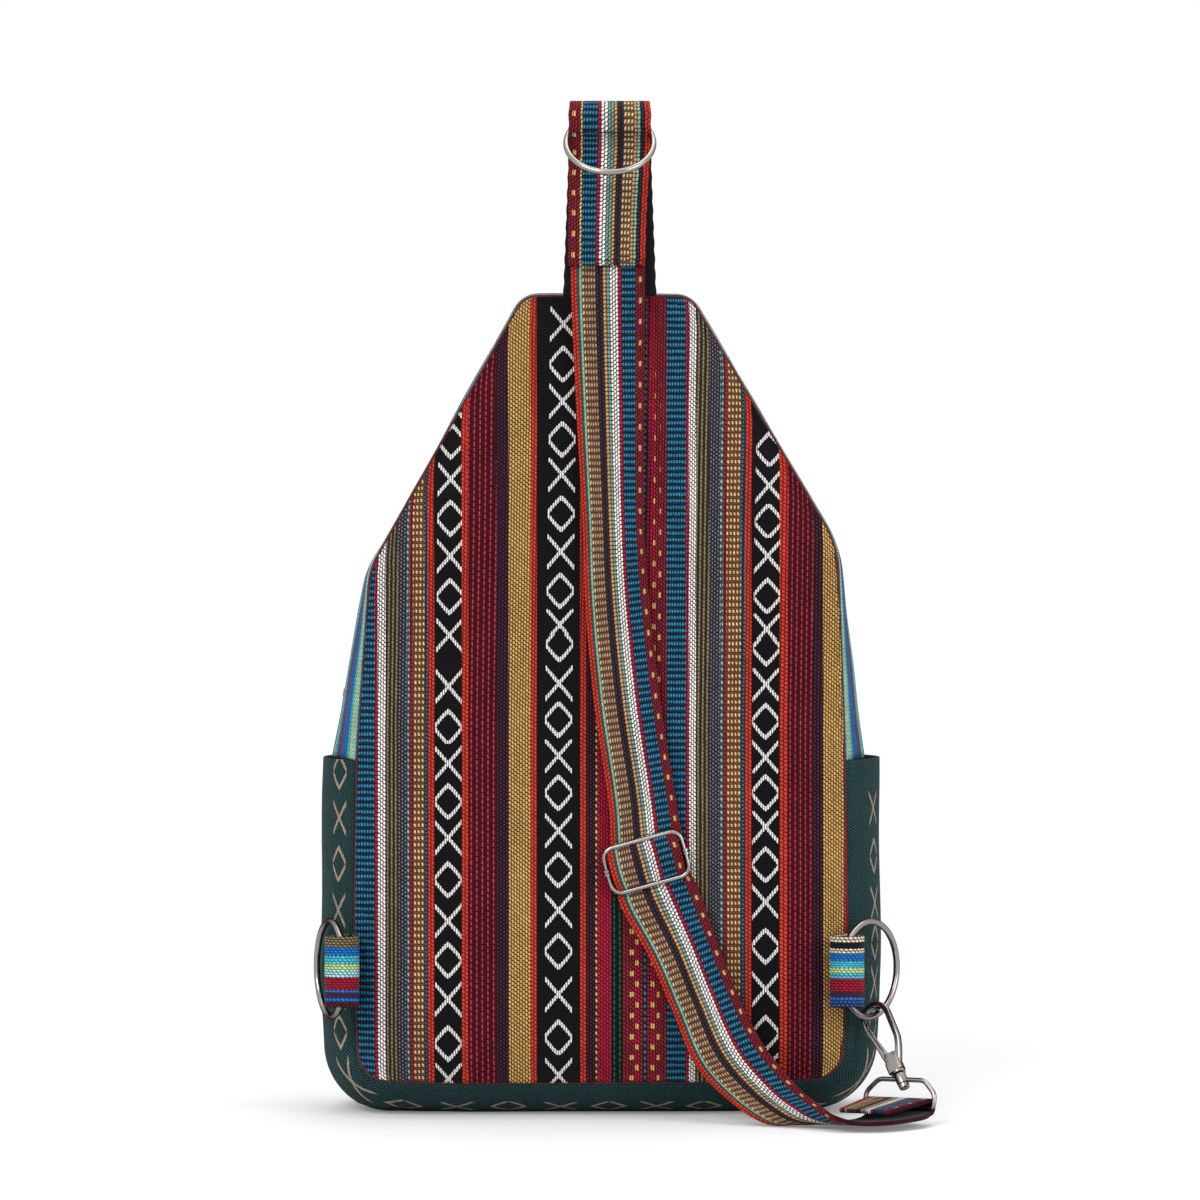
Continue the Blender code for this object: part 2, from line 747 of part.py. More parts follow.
def side_tab(name, home, x, side):
    """A strip of cloth sewn into the side seam and rolled round a ring."""
    roll = Vector((x, TAB_ROLL_Y))
    root = Vector((TAB_ROOT_X * side, TAB_ROOT_Y))
    away = (roll - root).normalized()
    across = Vector((-away.y, away.x))
    reach = TAB_ROLL_RADIUS + 0.0034
    flat = teardrop(Vector((0, 0)), TAB_ROLL_RADIUS, TAB_PINCH_HALF, reach, 10)
    profile = [root + across * TAB_PINCH_HALF]
    profile += [roll + across * p.x + away * p.y for p in flat]
    profile += [root - across * TAB_PINCH_HALF]
    total = sum(width for _, width in TAB_CLOTH)
    levels = [TAB_Z + TAB_HEIGHT / 2]
    for _, width in TAB_CLOTH:
        levels.append(levels[-1] - TAB_HEIGHT * width / total)
    grid = [[Vector((p.x, p.y, z)) for z in levels] for p in profile]
    return sheet(name, home, grid, TAB_WALL, [fabric for fabric, _ in TAB_CLOTH])


def ring(name, home, axis_point, away, sideways, radius, wire, inner_reach):
    """A round wire ring that hangs from a roll: its nearest point lies past the axis."""
    bpy.ops.mesh.primitive_torus_add(
        major_radius=radius, minor_radius=wire, major_segments=24, minor_segments=6
    )
    made = settle(bpy.context.object, home)
    made.name = name
    centre = away * (radius - inner_reach)
    turned = Matrix((away, sideways, away.cross(sideways))).transposed().to_4x4()
    made.data.transform(Matrix.Translation(centre) @ turned)
    made.location = axis_point
    made.data.materials.append(nickel())
    smooth(made.data)
    return made


def rings(home):
    down = Vector((0, -math.sin(TOP_RING_TILT), -math.cos(TOP_RING_TILT)))
    ring(
        "top_ring", home, Vector((LOOP_CENTRE_X, LOOP_ROLL_Y, LOOP_ROLL_Z)), down,
        Vector((1, 0, 0)), TOP_RING_RADIUS, TOP_RING_WIRE,
        sagitta(TOP_RING_RADIUS, LOOP_HALF_WIDTH),
    )
    places = (("right_ring", RIGHT_TAB_X, RIGHT_RING_TURN), ("left_ring", LEFT_TAB_X, LEFT_RING_TURN))
    for name, x, turn in places:
        away = Vector((math.cos(turn), math.sin(turn), 0))
        ring(
            name, home, Vector((x, TAB_ROLL_Y, TAB_Z)), away, Vector((0, 0, 1)),
            TAB_RING_RADIUS, TAB_RING_WIRE, sagitta(TAB_RING_RADIUS, TAB_HEIGHT / 2),
        )


def sagitta(radius, half_chord):
    """Half the rise of the ring's arc over the width of the roll that holds it."""
    return (radius - math.sqrt(radius**2 - half_chord**2)) / 2


def joined(first, others, operation="UNION"):
    """Applies a Boolean of the others to the first and removes them."""
    for other in others:
        step = first.modifiers.new("cut", "BOOLEAN")
        step.operation = operation
        step.object = other
        step.solver = "EXACT"
        bpy.context.view_layer.update()
        view = bpy.context.evaluated_depsgraph_get()
        fresh = bpy.data.meshes.new_from_object(first.evaluated_get(view))
        first.modifiers.clear()
        first.data = fresh
        bpy.data.objects.remove(other)
    return first


def rod(home, start, end, radius, sides=10, name="rod"):
    """A cylinder between two points, with its mesh in world space."""
    along = end - start
    bpy.ops.mesh.primitive_cylinder_add(vertices=sides, radius=radius, depth=along.length)
    made = settle(bpy.context.object, home)
    made.name = name
    turn = along.to_track_quat("Z", "Y").to_matrix().to_4x4()
    made.data.transform(Matrix.Translation((start + end) / 2) @ turn)
    return made


def block(home, size, place, name="block"):
    """A box with its mesh in the frame that the matrix place gives."""
    bpy.ops.mesh.primitive_cube_add(size=1)
    made = settle(bpy.context.object, home)
    made.name = name
    made.data.transform(place @ Matrix.Diagonal((*size, 1)))
    return made


def adjuster(home):
    across, up, centre = adjuster_axes()
    half_width, half_height = ADJUSTER_WIDTH / 2, ADJUSTER_HEIGHT / 2
    corners = [
        (-half_width, -half_height), (half_width, -half_height),
        (half_width, half_height), (-half_width, half_height),
    ]
    ring_2d = rounded(corners, [ADJUSTER_CORNER] * 4, 0.012, closed=True)
    points = [centre + across * p.x + up * p.y for p in ring_2d]
    tube("adjuster_frame", home, points, ADJUSTER_WIRE, 1, True, nickel())
    inner = half_width - ADJUSTER_WIRE - 2 * SEWN_GAP
    bar = rod(home, centre - across * inner, centre + across * inner, ADJUSTER_WIRE, 10, "adjuster_bar")
    collars, holes = [], []
    for side in (-1, 1):
        middle = centre + across * half_width * side
        reach = up * COLLAR_HEIGHT / 2
        collars.append(rod(home, middle - reach, middle + reach, COLLAR_RADIUS, 14))
        reach = up * COLLAR_HEIGHT
        holes.append(rod(home, middle - reach, middle + reach, ADJUSTER_WIRE + SEWN_GAP, 12))
    joined(bar, collars)
    joined(bar, holes, "DIFFERENCE")
    bar.data.materials.append(nickel())
    smooth(bar.data)


def eye_shape():
    """The closed D of the eye: a bar in the strap's fold and a round top."""
    left, right, _, _ = fold_axes()
    middle = (left + right) / 2
    across = (right - left).normalized()
    half = (right - left).length / 2 + EYE_WIRE + SEWN_GAP
    rise = EYE_TOP - middle
    rise = rise - across * rise.dot(across)
    height = rise.length
    shoulder, crown = height * 0.5, half * 0.66
    corners = [
        (-half, 0), (half, 0), (half, shoulder), (crown, height), (-crown, height), (-half, shoulder)
    ]
    radii = [0.0016, 0.0016, 0.0050, 0.0050, 0.0050, 0.0050]
    flat = rounded(corners, radii, 0.012, closed=True)
    up = rise.normalized()
    return [middle + across * p.x + up * p.y for p in flat], middle + rise


def hooked_point():
    """The point of the right ring's wire that the snap hook holds."""
    away = Vector((math.cos(RIGHT_RING_TURN), math.sin(RIGHT_RING_TURN), 0))
    inner = sagitta(TAB_RING_RADIUS, TAB_HEIGHT / 2)
    centre = Vector((RIGHT_TAB_X, TAB_ROLL_Y, TAB_Z)) + away * (TAB_RING_RADIUS - inner)
    spoke = away * math.cos(HOOK_PLACE) - Vector((0, 0, 1)) * math.sin(HOOK_PLACE)
    return centre + spoke * TAB_RING_RADIUS


def jaw_height():
    """How far from the eye the centre of the hook's jaw lies."""
    _, top = eye_shape()
    reach = (hooked_point() - top).length
    return reach + TAB_RING_WIRE + HOOK_ROOM + HOOK_BAR_WIDTH / 2 - HOOK_JAW_RADIUS


def hook_frame():
    """Frame of the snap hook: X across its arms, Z along its shank, from the eye."""
    _, top = eye_shape()
    along = (hooked_point() - top).normalized()
    flat = (Vector((1, 0, 0)) - along * along.x).normalized()
    side = Matrix.Rotation(HOOK_TURN, 3, along) @ flat
    normal = along.cross(side)
    return Matrix.Translation(top) @ Matrix((side, normal, along)).transposed().to_4x4()


def solid_mesh(thing, home, name):
    """A curve made into a welded mesh, for a Boolean."""
    view = bpy.context.evaluated_depsgraph_get()
    mesh = bpy.data.meshes.new_from_object(thing.evaluated_get(view))
    made = bpy.data.objects.new(name, mesh)
    home.objects.link(made)
    bpy.data.objects.remove(thing)
    work = bmesh.new()
    work.from_mesh(mesh)
    bmesh.ops.remove_doubles(work, verts=work.verts, dist=1e-6)
    work.to_mesh(mesh)
    work.free()
    return made


def swivel_eye(home):
    points, _ = eye_shape()
    wire = tube("wire", home, points, EYE_WIRE, 2, True, nickel())
    bpy.context.view_layer.update()
    eye = solid_mesh(wire, home, "swivel_eye")
    frame = hook_frame()
    low, high = (frame @ Vector((0, 0, z)) for z in (-BOSS_HALF_HEIGHT, BOSS_HALF_HEIGHT))
    joined(eye, [rod(home, low, high, BOSS_RADIUS, 14)])
    low, high = (frame @ Vector((0, 0, z)) for z in (-0.006, 0.006))
    joined(eye, [rod(home, low, high, SHANK_RADIUS + PIVOT_CLEARANCE, 14)], "DIFFERENCE")
    smooth(eye.data)


def bar_along(name, home, path, frame, width, depth):
    """A flat bar swept along a path in the hook's own XZ plane."""
    mesh = bpy.data.meshes.new(name)
    made = bpy.data.objects.new(name, mesh)
    home.objects.link(made)
    work = bmesh.new()
    sections = []
    last = len(path) - 1
    for i, point in enumerate(path):
        along = (path[min(i + 1, last)] - path[max(i - 1, 0)]).normalized()
        side = Vector((along.y, -along.x)) * width / 2
        corners = []
        for a, b in ((-1, -1), (1, -1), (1, 1), (-1, 1)):
            flat = point + side * a
            corners.append(work.verts.new(frame @ Vector((flat.x, b * depth / 2, flat.y))))
        sections.append(corners)
    for low, high in zip(sections, sections[1:]):
        for i in range(4):
            j = (i + 1) % 4
            work.faces.new((low[i], low[j], high[j], high[i]))
    work.faces.new(sections[0][::-1])
    work.faces.new(sections[-1])
    bmesh.ops.recalc_face_normals(work, faces=work.faces)
    work.to_mesh(mesh)
    work.free()
    return made


def snap_hook(home):
    frame = hook_frame()
    height = jaw_height()
    jaw = [
        Vector((-math.cos(angle), math.sin(angle))) * HOOK_JAW_RADIUS + Vector((0, height))
        for angle in (math.pi * i / 8 for i in range(8, -1, -1))
    ]
    tip = Vector((-HOOK_JAW_RADIUS, height - 0.0035))
    path = [Vector((0.0012, 0.0062)), Vector((0.0036, 0.0120)), Vector((HOOK_JAW_RADIUS, 0.0190))]
    body = bar_along("hook_body", home, [*path, *jaw, tip], frame, HOOK_BAR_WIDTH, HOOK_BAR_DEPTH)
    base_low = BOSS_HALF_HEIGHT + SEWN_GAP
    base = block(
        home, (0.0072, 0.0050, 0.0090),
        frame @ Matrix.Translation((-0.0006, 0, base_low + 0.0013 + 0.0045)),
    )
    collar = rod(
        home, frame @ Vector((0, 0, base_low)), frame @ Vector((0, 0, base_low + 0.0020)),
        BOSS_RADIUS - 0.0002, 14,
    )
    shank_low, shank_high = (frame @ Vector((0, 0, z)) for z in (-0.0036, 0.0050))
    shank = rod(home, shank_low, shank_high, SHANK_RADIUS, 14)
    knob_high = -BOSS_HALF_HEIGHT - SEWN_GAP
    knob = rod(
        home, frame @ Vector((0, 0, knob_high - 0.0018)), frame @ Vector((0, 0, knob_high)),
        BOSS_RADIUS - 0.0002, 12,
    )
    joined(body, [base, collar, shank, knob])
    slot_width = 0.0026
    slot = block(
        home, (0.0060, slot_width, 0.0120),
        frame @ Matrix.Translation((GATE_PIVOT.x - 0.0012, 0, GATE_PIVOT.z + 0.0026)),
    )
    pin_reach = Vector((0, 0.0040, 0))
    pin_hole = rod(
        home, frame @ (GATE_PIVOT - pin_reach), frame @ (GATE_PIVOT + pin_reach),
        GATE_PIN_RADIUS + 0.0001, 10,
    )
    joined(body, [slot, pin_hole], "DIFFERENCE")
    body.data.materials.append(nickel())
    smooth(body.data)
    gate_wall = slot_width - 2 * SEWN_GAP
    low = Vector((GATE_PIVOT.x, GATE_PIVOT.z))
    high = Vector((tip.x + 0.0002, tip.y - SEWN_GAP - 0.0003))
    reach = (high - low).normalized() * 0.0012
    gate = bar_along("hook_gate", home, [low - reach, high], frame, 0.0022, gate_wall)
    hole = rod(
        home, frame @ (GATE_PIVOT - pin_reach), frame @ (GATE_PIVOT + pin_reach),
        GATE_PIN_RADIUS + 0.0001, 10,
    )
    joined(gate, [hole], "DIFFERENCE")
    gate.data.materials.append(nickel())
    pin_half = Vector((0, 0.0026, 0))
    pin = rod(home, frame @ (GATE_PIVOT - pin_half), frame @ (GATE_PIVOT + pin_half), GATE_PIN_RADIUS, 10, "gate_pin")
    pin.data.materials.append(nickel())


def zip_slider(prefix, home, frame):
    """Slider body on the coil, X along the zip and Z away from the cloth, and its pull."""
    low = COIL_HEIGHT + TAPE_WALL / 2 + SEWN_GAP
    top = low + SLIDER_BODY
    body = block(
        home, (SLIDER_LENGTH, SLIDER_WIDTH, SLIDER_BODY),
        frame @ Matrix.Translation((0, 0, low + SLIDER_BODY / 2)), f"{prefix}_slider",
    )
    sunk = SLIDER_BODY * 0.6
    height = sunk + PULL_LIFT + HUMP_OVER
    hump = block(
        home, (2 * HUMP_HALF_LENGTH, 0.0016, height),
        frame @ Matrix.Translation((0, 0, top - sunk + height / 2)),
    )
    joined(body, [hump])
    reach = Vector((0, 0.0030, 0))
    axis = Vector((0, 0, top + PULL_LIFT))
    hole = rod(home, frame @ (axis - reach), frame @ (axis + reach), 0.0009, 10)
    joined(body, [hole], "DIFFERENCE")
    body.data.materials.append(nickel())
    beyond = 0.0009
    pull = block(
        home, (PULL_LENGTH + beyond, PULL_WIDTH, PULL_THICKNESS),
        frame @ Matrix.Translation(((beyond - PULL_LENGTH) / 2, 0, axis.z)), f"{prefix}_pull",
    )
    inner = HUMP_HALF_LENGTH + 0.0011
    window = block(
        home, (inner + 2 * beyond, 0.0022, 0.0060),
        frame @ Matrix.Translation((beyond - inner / 2, 0, axis.z)),
    )
    joined(pull, [window], "DIFFERENCE")
    half = Vector((0, 0.0018, 0))
    across = rod(home, frame @ (axis - half), frame @ (axis + half), 0.00055, 8)
    joined(pull, [across])
    pull.data.materials.append(nickel())


def main_zip_frame():
    """Frame on the left stretch of the main zip: X up along it, Z outwards."""
    low, high = Vector(UPPER_CORNERS[-1]), Vector(UPPER_CORNERS[-2])
    along = (high - low).normalized()
    normal = Vector((-along.y, along.x))
    ends = []
    for z in (0.180, 0.205):
        share = (z - low.y) / (high.y - low.y)
        point = low + (high - low) * share
        ends.append(gusset_point(point, normal, ZIP_PLACE, False, tape_sunk()))
    x_axis = (ends[1] - ends[0]).normalized()
    slope = 0.0005
    place = low + (high - low) * (0.180 - low.y) / (high.y - low.y)
    a = gusset_point(place, normal, ZIP_PLACE - slope, False)
    b = gusset_point(place, normal, ZIP_PLACE + slope, False)
    across = (b - a).normalized()
    z_axis = across.cross(x_axis).normalized()
    z_axis = z_axis if z_axis.x < 0 else -z_axis
    y_axis = z_axis.cross(x_axis)
    return Matrix.Translation(ends[0]) @ Matrix((x_axis, y_axis, z_axis)).transposed().to_4x4()


def pocket_zip_frame():
    """Frame near the left end of the pocket zip: X along +X, Z towards +Y."""
    loop = inset_loop(PANEL_SET_IN)
    x = -0.066
    y = front_y(x, POCKET_ZIP_Z, loop, FRONT_CROWN) - tape_sunk()
    axes = Matrix(((1, 0, 0), (0, 0, -1), (0, 1, 0))).transposed().to_4x4()
    return Matrix.Translation((x, y, POCKET_ZIP_Z)) @ axes


def main():
    clear_scene()
    home = collection("woven_sling_bag")
    back_panel(home)
    front_panels(home)
    gussets(home)
    main_zip(home)
    pocket_zip(home)
    pipings(home)
    anchor_loop(home)
    shoulder_strap(home)
    side_tab("left_tab", home, LEFT_TAB_X, -1)
    side_tab("right_tab", home, RIGHT_TAB_X, 1)
    rings(home)
    adjuster(home)
    swivel_eye(home)
    snap_hook(home)
    zip_slider("main_zip", home, main_zip_frame())
    zip_slider("pocket_zip", home, pocket_zip_frame())


main()
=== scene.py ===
"""Woven sling bag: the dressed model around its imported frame.

Metres, +Z up, back panel towards -Y, as in the frame. Every cloth is one warp-faced
cotton weave: its mesh carries the stripes as face attributes, and the material draws
the yarn floats, the woven signs and their relief from them.
"""

import math

import bmesh
import bpy
import numpy as np
from bpy.props import FloatProperty, FloatVectorProperty, IntProperty, PointerProperty
from mathutils import Matrix, Vector, noise


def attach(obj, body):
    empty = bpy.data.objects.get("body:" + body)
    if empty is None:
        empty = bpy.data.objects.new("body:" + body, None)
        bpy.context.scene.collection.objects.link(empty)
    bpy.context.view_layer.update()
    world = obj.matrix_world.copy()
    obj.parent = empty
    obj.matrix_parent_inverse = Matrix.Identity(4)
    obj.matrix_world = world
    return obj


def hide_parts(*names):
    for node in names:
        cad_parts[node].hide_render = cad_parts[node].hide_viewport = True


bl_info = {
    "name": "Woven sling bag",
    "version": (1, 0, 0),
    "blender": (4, 5, 0),
    "location": "View3D > Sidebar > Sling bag",
    "description": "Makes a woven sling bag around its packed frame",
    "category": "Add Mesh",
}

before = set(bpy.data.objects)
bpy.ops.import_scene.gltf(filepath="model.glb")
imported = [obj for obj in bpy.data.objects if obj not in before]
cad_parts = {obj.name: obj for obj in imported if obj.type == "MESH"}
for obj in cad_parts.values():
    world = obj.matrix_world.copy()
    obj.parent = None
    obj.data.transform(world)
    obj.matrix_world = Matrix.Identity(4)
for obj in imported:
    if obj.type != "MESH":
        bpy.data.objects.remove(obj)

# Outline of the bag, as in the solids
SEAM_Y = -0.045
TOP_Z = 0.3535
HIP_Z = 0.154
SHOULDER_Z = 0.2464
FULL_DEPTH, TOP_DEPTH = 0.090, 0.045
SEAM_LIFT = 0.014
LOWER_BULGE = 0.0165
BULGE_POWER = 2.5
ZIP_PLACE = 0.78
POCKET_ZIP_Z = 0.1520
BACK_CROWN, FRONT_CROWN, POCKET_FULLNESS = 0.0070, 0.0060, 0.0035
LOWER_CORNERS = [
    (-0.1042, HIP_Z), (-0.1056, 0.060), (-0.1030, 0.0165), (0.0, SEAM_LIFT),
    (0.1035, 0.0175), (0.1063, 0.070), (0.1049, HIP_Z),
]
LOWER_RADII = [0.150, 0.013, 2.0, 0.013, 0.150]
UPPER_CORNERS = [
    (0.1049, HIP_Z), (0.1018, SHOULDER_Z), (0.0385, TOP_Z), (-0.0325, TOP_Z),
    (-0.0986, 0.2362), (-0.1042, HIP_Z),
]
UPPER_RADII = [0.040, 0.010, 0.010, 0.030]
LEFT_BULGE = [(HIP_Z, 0.0125), (0.2176, 0.0050), (SHOULDER_Z, 0.0010), (TOP_Z, 0.0015)]
RIGHT_BULGE = [(HIP_Z, 0.0103), (SHOULDER_Z, 0.0015), (TOP_Z, 0.0015)]

# Walls of the dressed pieces
PANEL_WALL, CLOTH_WALL, STRAP_WALL, TAB_WALL = 0.0020, 0.0016, 0.0018, 0.0014

# Strap, its loop and its lap seam
LOOP_CENTRE_X, LOOP_HALF_WIDTH, LOOP_FOOT_HALF_WIDTH = 0.0042, 0.0157, 0.0200
ROLL_HALF_WIDTH, FRONT_LEG_X, FRONT_LEG_HALF_WIDTH = 0.0176, 0.0028, 0.0165
LOOP_BACK_Y, LOOP_ROLL_Y, LOOP_ROLL_Z = -0.0450, -0.0500, 0.4285
LOOP_ROLL_RADIUS, LOOP_PINCH_DROP, LOOP_PINCH_HALF = 0.0078, 0.0122, 0.0013
LAP_Z, STRAP_Y, STRAP_TOP_Z = 0.3660, -0.0559, 0.3780
STRAP_EDGES = [
    ((-0.0126, STRAP_Y, STRAP_TOP_Z), (0.0194, STRAP_Y, STRAP_TOP_Z)),
    ((-0.0124, STRAP_Y, 0.3520), (0.0193, STRAP_Y, 0.3520)),
    ((-0.0100, STRAP_Y, 0.3000), (0.0190, STRAP_Y, 0.3000)),
    ((-0.0077, STRAP_Y, 0.2570), (0.0190, STRAP_Y, 0.2570)),
    ((-0.0064, STRAP_Y, 0.2210), (0.0210, STRAP_Y, 0.2250)),
    ((-0.0026, STRAP_Y, 0.1780), (0.0257, STRAP_Y, 0.1820)),
    ((0.0034, STRAP_Y, 0.1370), (0.0317, STRAP_Y, 0.1430)),
    ((0.0046, -0.0556, 0.1160), (0.0352, -0.0556, 0.1230)),
    ((0.0070, -0.0556, 0.1000), (0.0378, -0.0556, 0.1090)),
    ((0.0093, -0.0559, 0.0905), (0.0424, -0.0565, 0.0990)),
    ((0.0210, -0.0572, 0.0700), (0.0488, -0.0582, 0.0809)),
    ((0.0308, -0.0590, 0.0475), (0.0574, -0.0610, 0.0583)),
    ((0.0410, -0.0620, 0.0241), (0.0687, -0.0665, 0.0352)),
    ((0.0552, -0.0700, 0.0099), (0.0836, -0.0780, 0.0171)),
    ((0.0694, -0.0760, 0.0020), (0.0933, -0.0910, 0.0100)),
    ((0.0840, -0.0740, 0.0012), (0.0995, -0.0985, 0.0060)),
    ((0.0970, -0.0710, 0.0012), (0.1090, -0.1010, 0.0040)),
    ((0.1065, -0.0695, 0.0014), (0.1220, -0.0980, 0.0040)),
    ((0.1120, -0.0630, 0.0022), (0.1357, -0.0850, 0.0045)),
    ((0.1148, -0.0532, 0.0040), (0.1404, -0.0724, 0.0050)),
]
FOLD_RADIUS = 0.0028
TAIL_END = (Vector((0.1015, -0.0740, 0.0066)), Vector((0.1215, -0.0930, 0.0078)))

# Side tabs
TAB_HEIGHT, TAB_ROLL_RADIUS, TAB_PINCH_HALF = 0.0310, 0.0067, 0.0011
TAB_ROLL_Y, TAB_Z, TAB_ROOT_X, TAB_ROOT_Y = -0.0592, 0.0642, 0.1070, -0.0470
TAB_X = {"right_tab": 0.1055, "left_tab": -0.1102}

# Rings: radius of the middle line and of the wire
RING_SIZES = {
    "top_ring": (0.0186, 0.0013),
    "left_ring": (0.0205, 0.0014),
    "right_ring": (0.0205, 0.0014),
}
TOP_RING_TILT = math.radians(43)
RING_TURNS = {"right_ring": math.radians(52), "left_ring": math.radians(110)}

# Adjuster
ADJUSTER_CENTRE = Vector((0.0198, -0.0583, 0.1109))
ADJUSTER_TILT = math.radians(15.4)
ADJUSTER_WIDTH, ADJUSTER_HEIGHT, ADJUSTER_CORNER, ADJUSTER_WIRE = 0.0342, 0.0196, 0.0045, 0.0010
# Where on the strap's run its piece in the adjuster begins, and the wall of that piece
ADJUSTER_RUN, ADJUSTER_WALL = 0.2625, 0.0014

# Eye and snap hook
EYE_WIRE = 0.00105
EYE_TOP = Vector((0.1252, -0.0580, 0.0182))
HOOK_TURN, HOOK_PLACE = math.radians(-30), math.radians(78)
HOOK_JAW_RADIUS, HOOK_ROOM, HOOK_BAR_WIDTH, HOOK_BAR_DEPTH = 0.0057, 0.0018, 0.0026, 0.0030
BOSS_HALF_HEIGHT, BOSS_RADIUS = 0.0024, 0.0026
EYE_SHOULDER, EYE_CROWN = 0.5, 0.66
GATE_PIVOT = Vector((-0.0022, 0.0, 0.0105))

# Puckers beside the seams: how far they reach from the seam, and their pitch
PUCKER_REACH, PUCKER_PITCH = 0.014, 0.0105

# Zips: half width of a tape, how deep it lies, half the gap over the main zip, the wall
# of a tape, and the pitch, the half distance and the size of the coil's loops
TAPE_HALF_WIDTH, TAPE_SUNK, ZIP_HALF_GAP, TAPE_WALL = 0.0065, 0.0018, 0.0034, 0.0008
COIL_PITCH, COIL_HALF, COIL_LOOP = 0.0013, 0.0008, (0.0026, 0.0009, 0.0014)

# Piping: radius, how far it lies inside the seam, and how much its cord swells
PIPING_RADIUS, PIPING_SUNK, PIPING_SWELL = 0.0009, 0.0006, 0.07

# Camera: place, lens and sensor width in mm, from the photograph's own view
CAMERA_PLACE, CAMERA_LENS, CAMERA_SENSOR = (0.0, -2.045, 0.223), 139.5, 36.0

# Woven signs in mm: pitch of their strokes, slope of a cross, half height and half
# width of a ring, the power that rounds it, how far a sign reaches aside, a spot's
# reach, and the pitch of the weft
STROKE_PITCH, CROSS_SLOPE, RING_HEIGHT, RING_WIDTH = 0.98, 1.18, 6.9, 6.1
RING_POWER, SIGN_REACH, SPOT_REACH, WEFT_PITCH = 1.18, 5.7, 0.8, 0.88

# Dyes of the yarns
DYES = {
    "black": "#060609", "soot": "#121217", "white": "#F8F5EE", "orange": "#CB3C2A",
    "brick": "#6A1410", "crimson": "#AC1B36", "wine": "#43091A", "gold": "#CFA35E",
    "umber": "#2E1D10", "aubergine": "#1C0E18", "plum": "#53283C", "maroon": "#1E0A13",
    "scarlet": "#C42C40", "navy": "#0F141C", "blue": "#2C83AC", "char": "#1E1E24",
    "tan": "#857657", "bark": "#1E1918", "slate": "#191920", "fog": "#77777F",
    "mint": "#8CB8A2", "deep_teal": "#1B4550", "rust": "#8E2230",
    "straw": "#DDBB70", "mulberry": "#552C2E", "sea": "#2F7088", "ink": "#13242E",
    # The lighter gusset green is painted highlight on the pebbles of the green cloth
    "green": "#215C48", "gusset": "#0E2629", "gusset_light": "#264A4B", "sand": "#C4AD97",
    "turquoise": "#4CC4DA", "pale_aqua": "#B4ECE4", "azure": "#1F78C8", "cobalt": "#11386E",
    "lime": "#D6E48A", "moss": "#5D8A5A", "cream": "#EADCC0",
    "amber": "#C6985C", "ash": "#7E9A8C", "violet": "#35213C", "dusk": "#43343F",
    "madder": "#86212E", "claret": "#2E0A12",
}

# How a yarn floats: column pitch and row pitch in mm, row shift of every second column,
# half width and half height of a float as shares of its pitch
WEAVES = {
    "dash": (1.20, 2.78, 0.0, 0.38, 0.26), "float": (1.16, 1.78, 0.5, 0.43, 0.42),
    "line": (2.40, 2.60, 0.5, 0.15, 0.42), "speck": (1.25, 1.70, 0.5, 0.28, 0.30),
    "dot": (1.60, 2.78, 0.0, 0.28, 0.28), "rib": (0.60, 0.88, 0.0, 0.60, 0.26),
    "twist": (1.85, 1.75, 0.5, 0.24, 0.50), "seed": (1.25, 2.80, 0.0, 0.32, 0.30),
    "pebble": (1.45, 1.30, 0.5, 0.42, 0.36), "braid": (1.40, 1.75, 0.5, 0.42, 0.43),
}

# Stripes: width in mm, ground dye, float dye, weave, and the dye and kind of a woven sign
BACK_CLOTH = [
    (8.6, "navy", "blue", "dash"), (1.3, "wine", "crimson", "float"),
    (3.4, "char", "white", "float"), (5.2, "bark", "tan", "twist"),
    (3.9, "slate", "fog", "speck"), (1.1, "deep_teal", "mint", "dash"),
    (1.5, "wine", "rust", "float"), (4.8, "mulberry", "straw", "dot"),
    (1.4, "ink", "sea", "speck"), (2.8, "brick", "orange", "braid"),
    (11.8, "black", "soot", "rib", "white", "left"), (2.8, "brick", "orange", "braid"),
    (12.0, "maroon", "scarlet", "line"), (5.2, "aubergine", "plum", "speck"),
    (9.5, "umber", "gold", "float"), (2.6, "brick", "orange", "braid"),
    (18.5, "black", "soot", "rib", "white", "centre"), (2.6, "brick", "orange", "braid"),
    (3.9, "maroon", "plum", "speck"), (1.0, "maroon", "straw", "dash"),
    (6.0, "wine", "crimson", "float"), (4.7, "black", "green", "line"),
    (2.8, "claret", "madder", "float"), (2.3, "claret", "madder", "float", "straw", "spots"),
    (2.3, "claret", "crimson", "float", "straw", "spots_between"),
    (1.4, "claret", "madder", "float"),
    (1.6, "maroon", "sea", "seed"), (1.4, "claret", "madder", "float"),
    (2.3, "claret", "crimson", "float", "straw", "spots_between"),
    (2.3, "claret", "madder", "float", "straw", "spots"), (2.5, "claret", "madder", "float"),
    (8.2, "navy", "blue", "dash"),
    (1.3, "wine", "crimson", "float"), (3.0, "char", "white", "float"),
    (5.6, "bark", "tan", "twist"), (4.7, "slate", "fog", "speck"),
    (1.3, "deep_teal", "mint", "dash"), (1.5, "wine", "rust", "float"),
    (6.2, "mulberry", "straw", "dot"), (1.7, "ink", "sea", "speck"),
    (2.8, "brick", "orange", "braid"), (12.0, "black", "soot", "rib", "white", "right"),
    (3.4, "brick", "orange", "braid"),
    (10.8, "maroon", "scarlet", "line"), (4.3, "aubergine", "plum", "speck"),
    (9.0, "umber", "gold", "float"), (1.3, "wine", "scarlet", "float"),
]
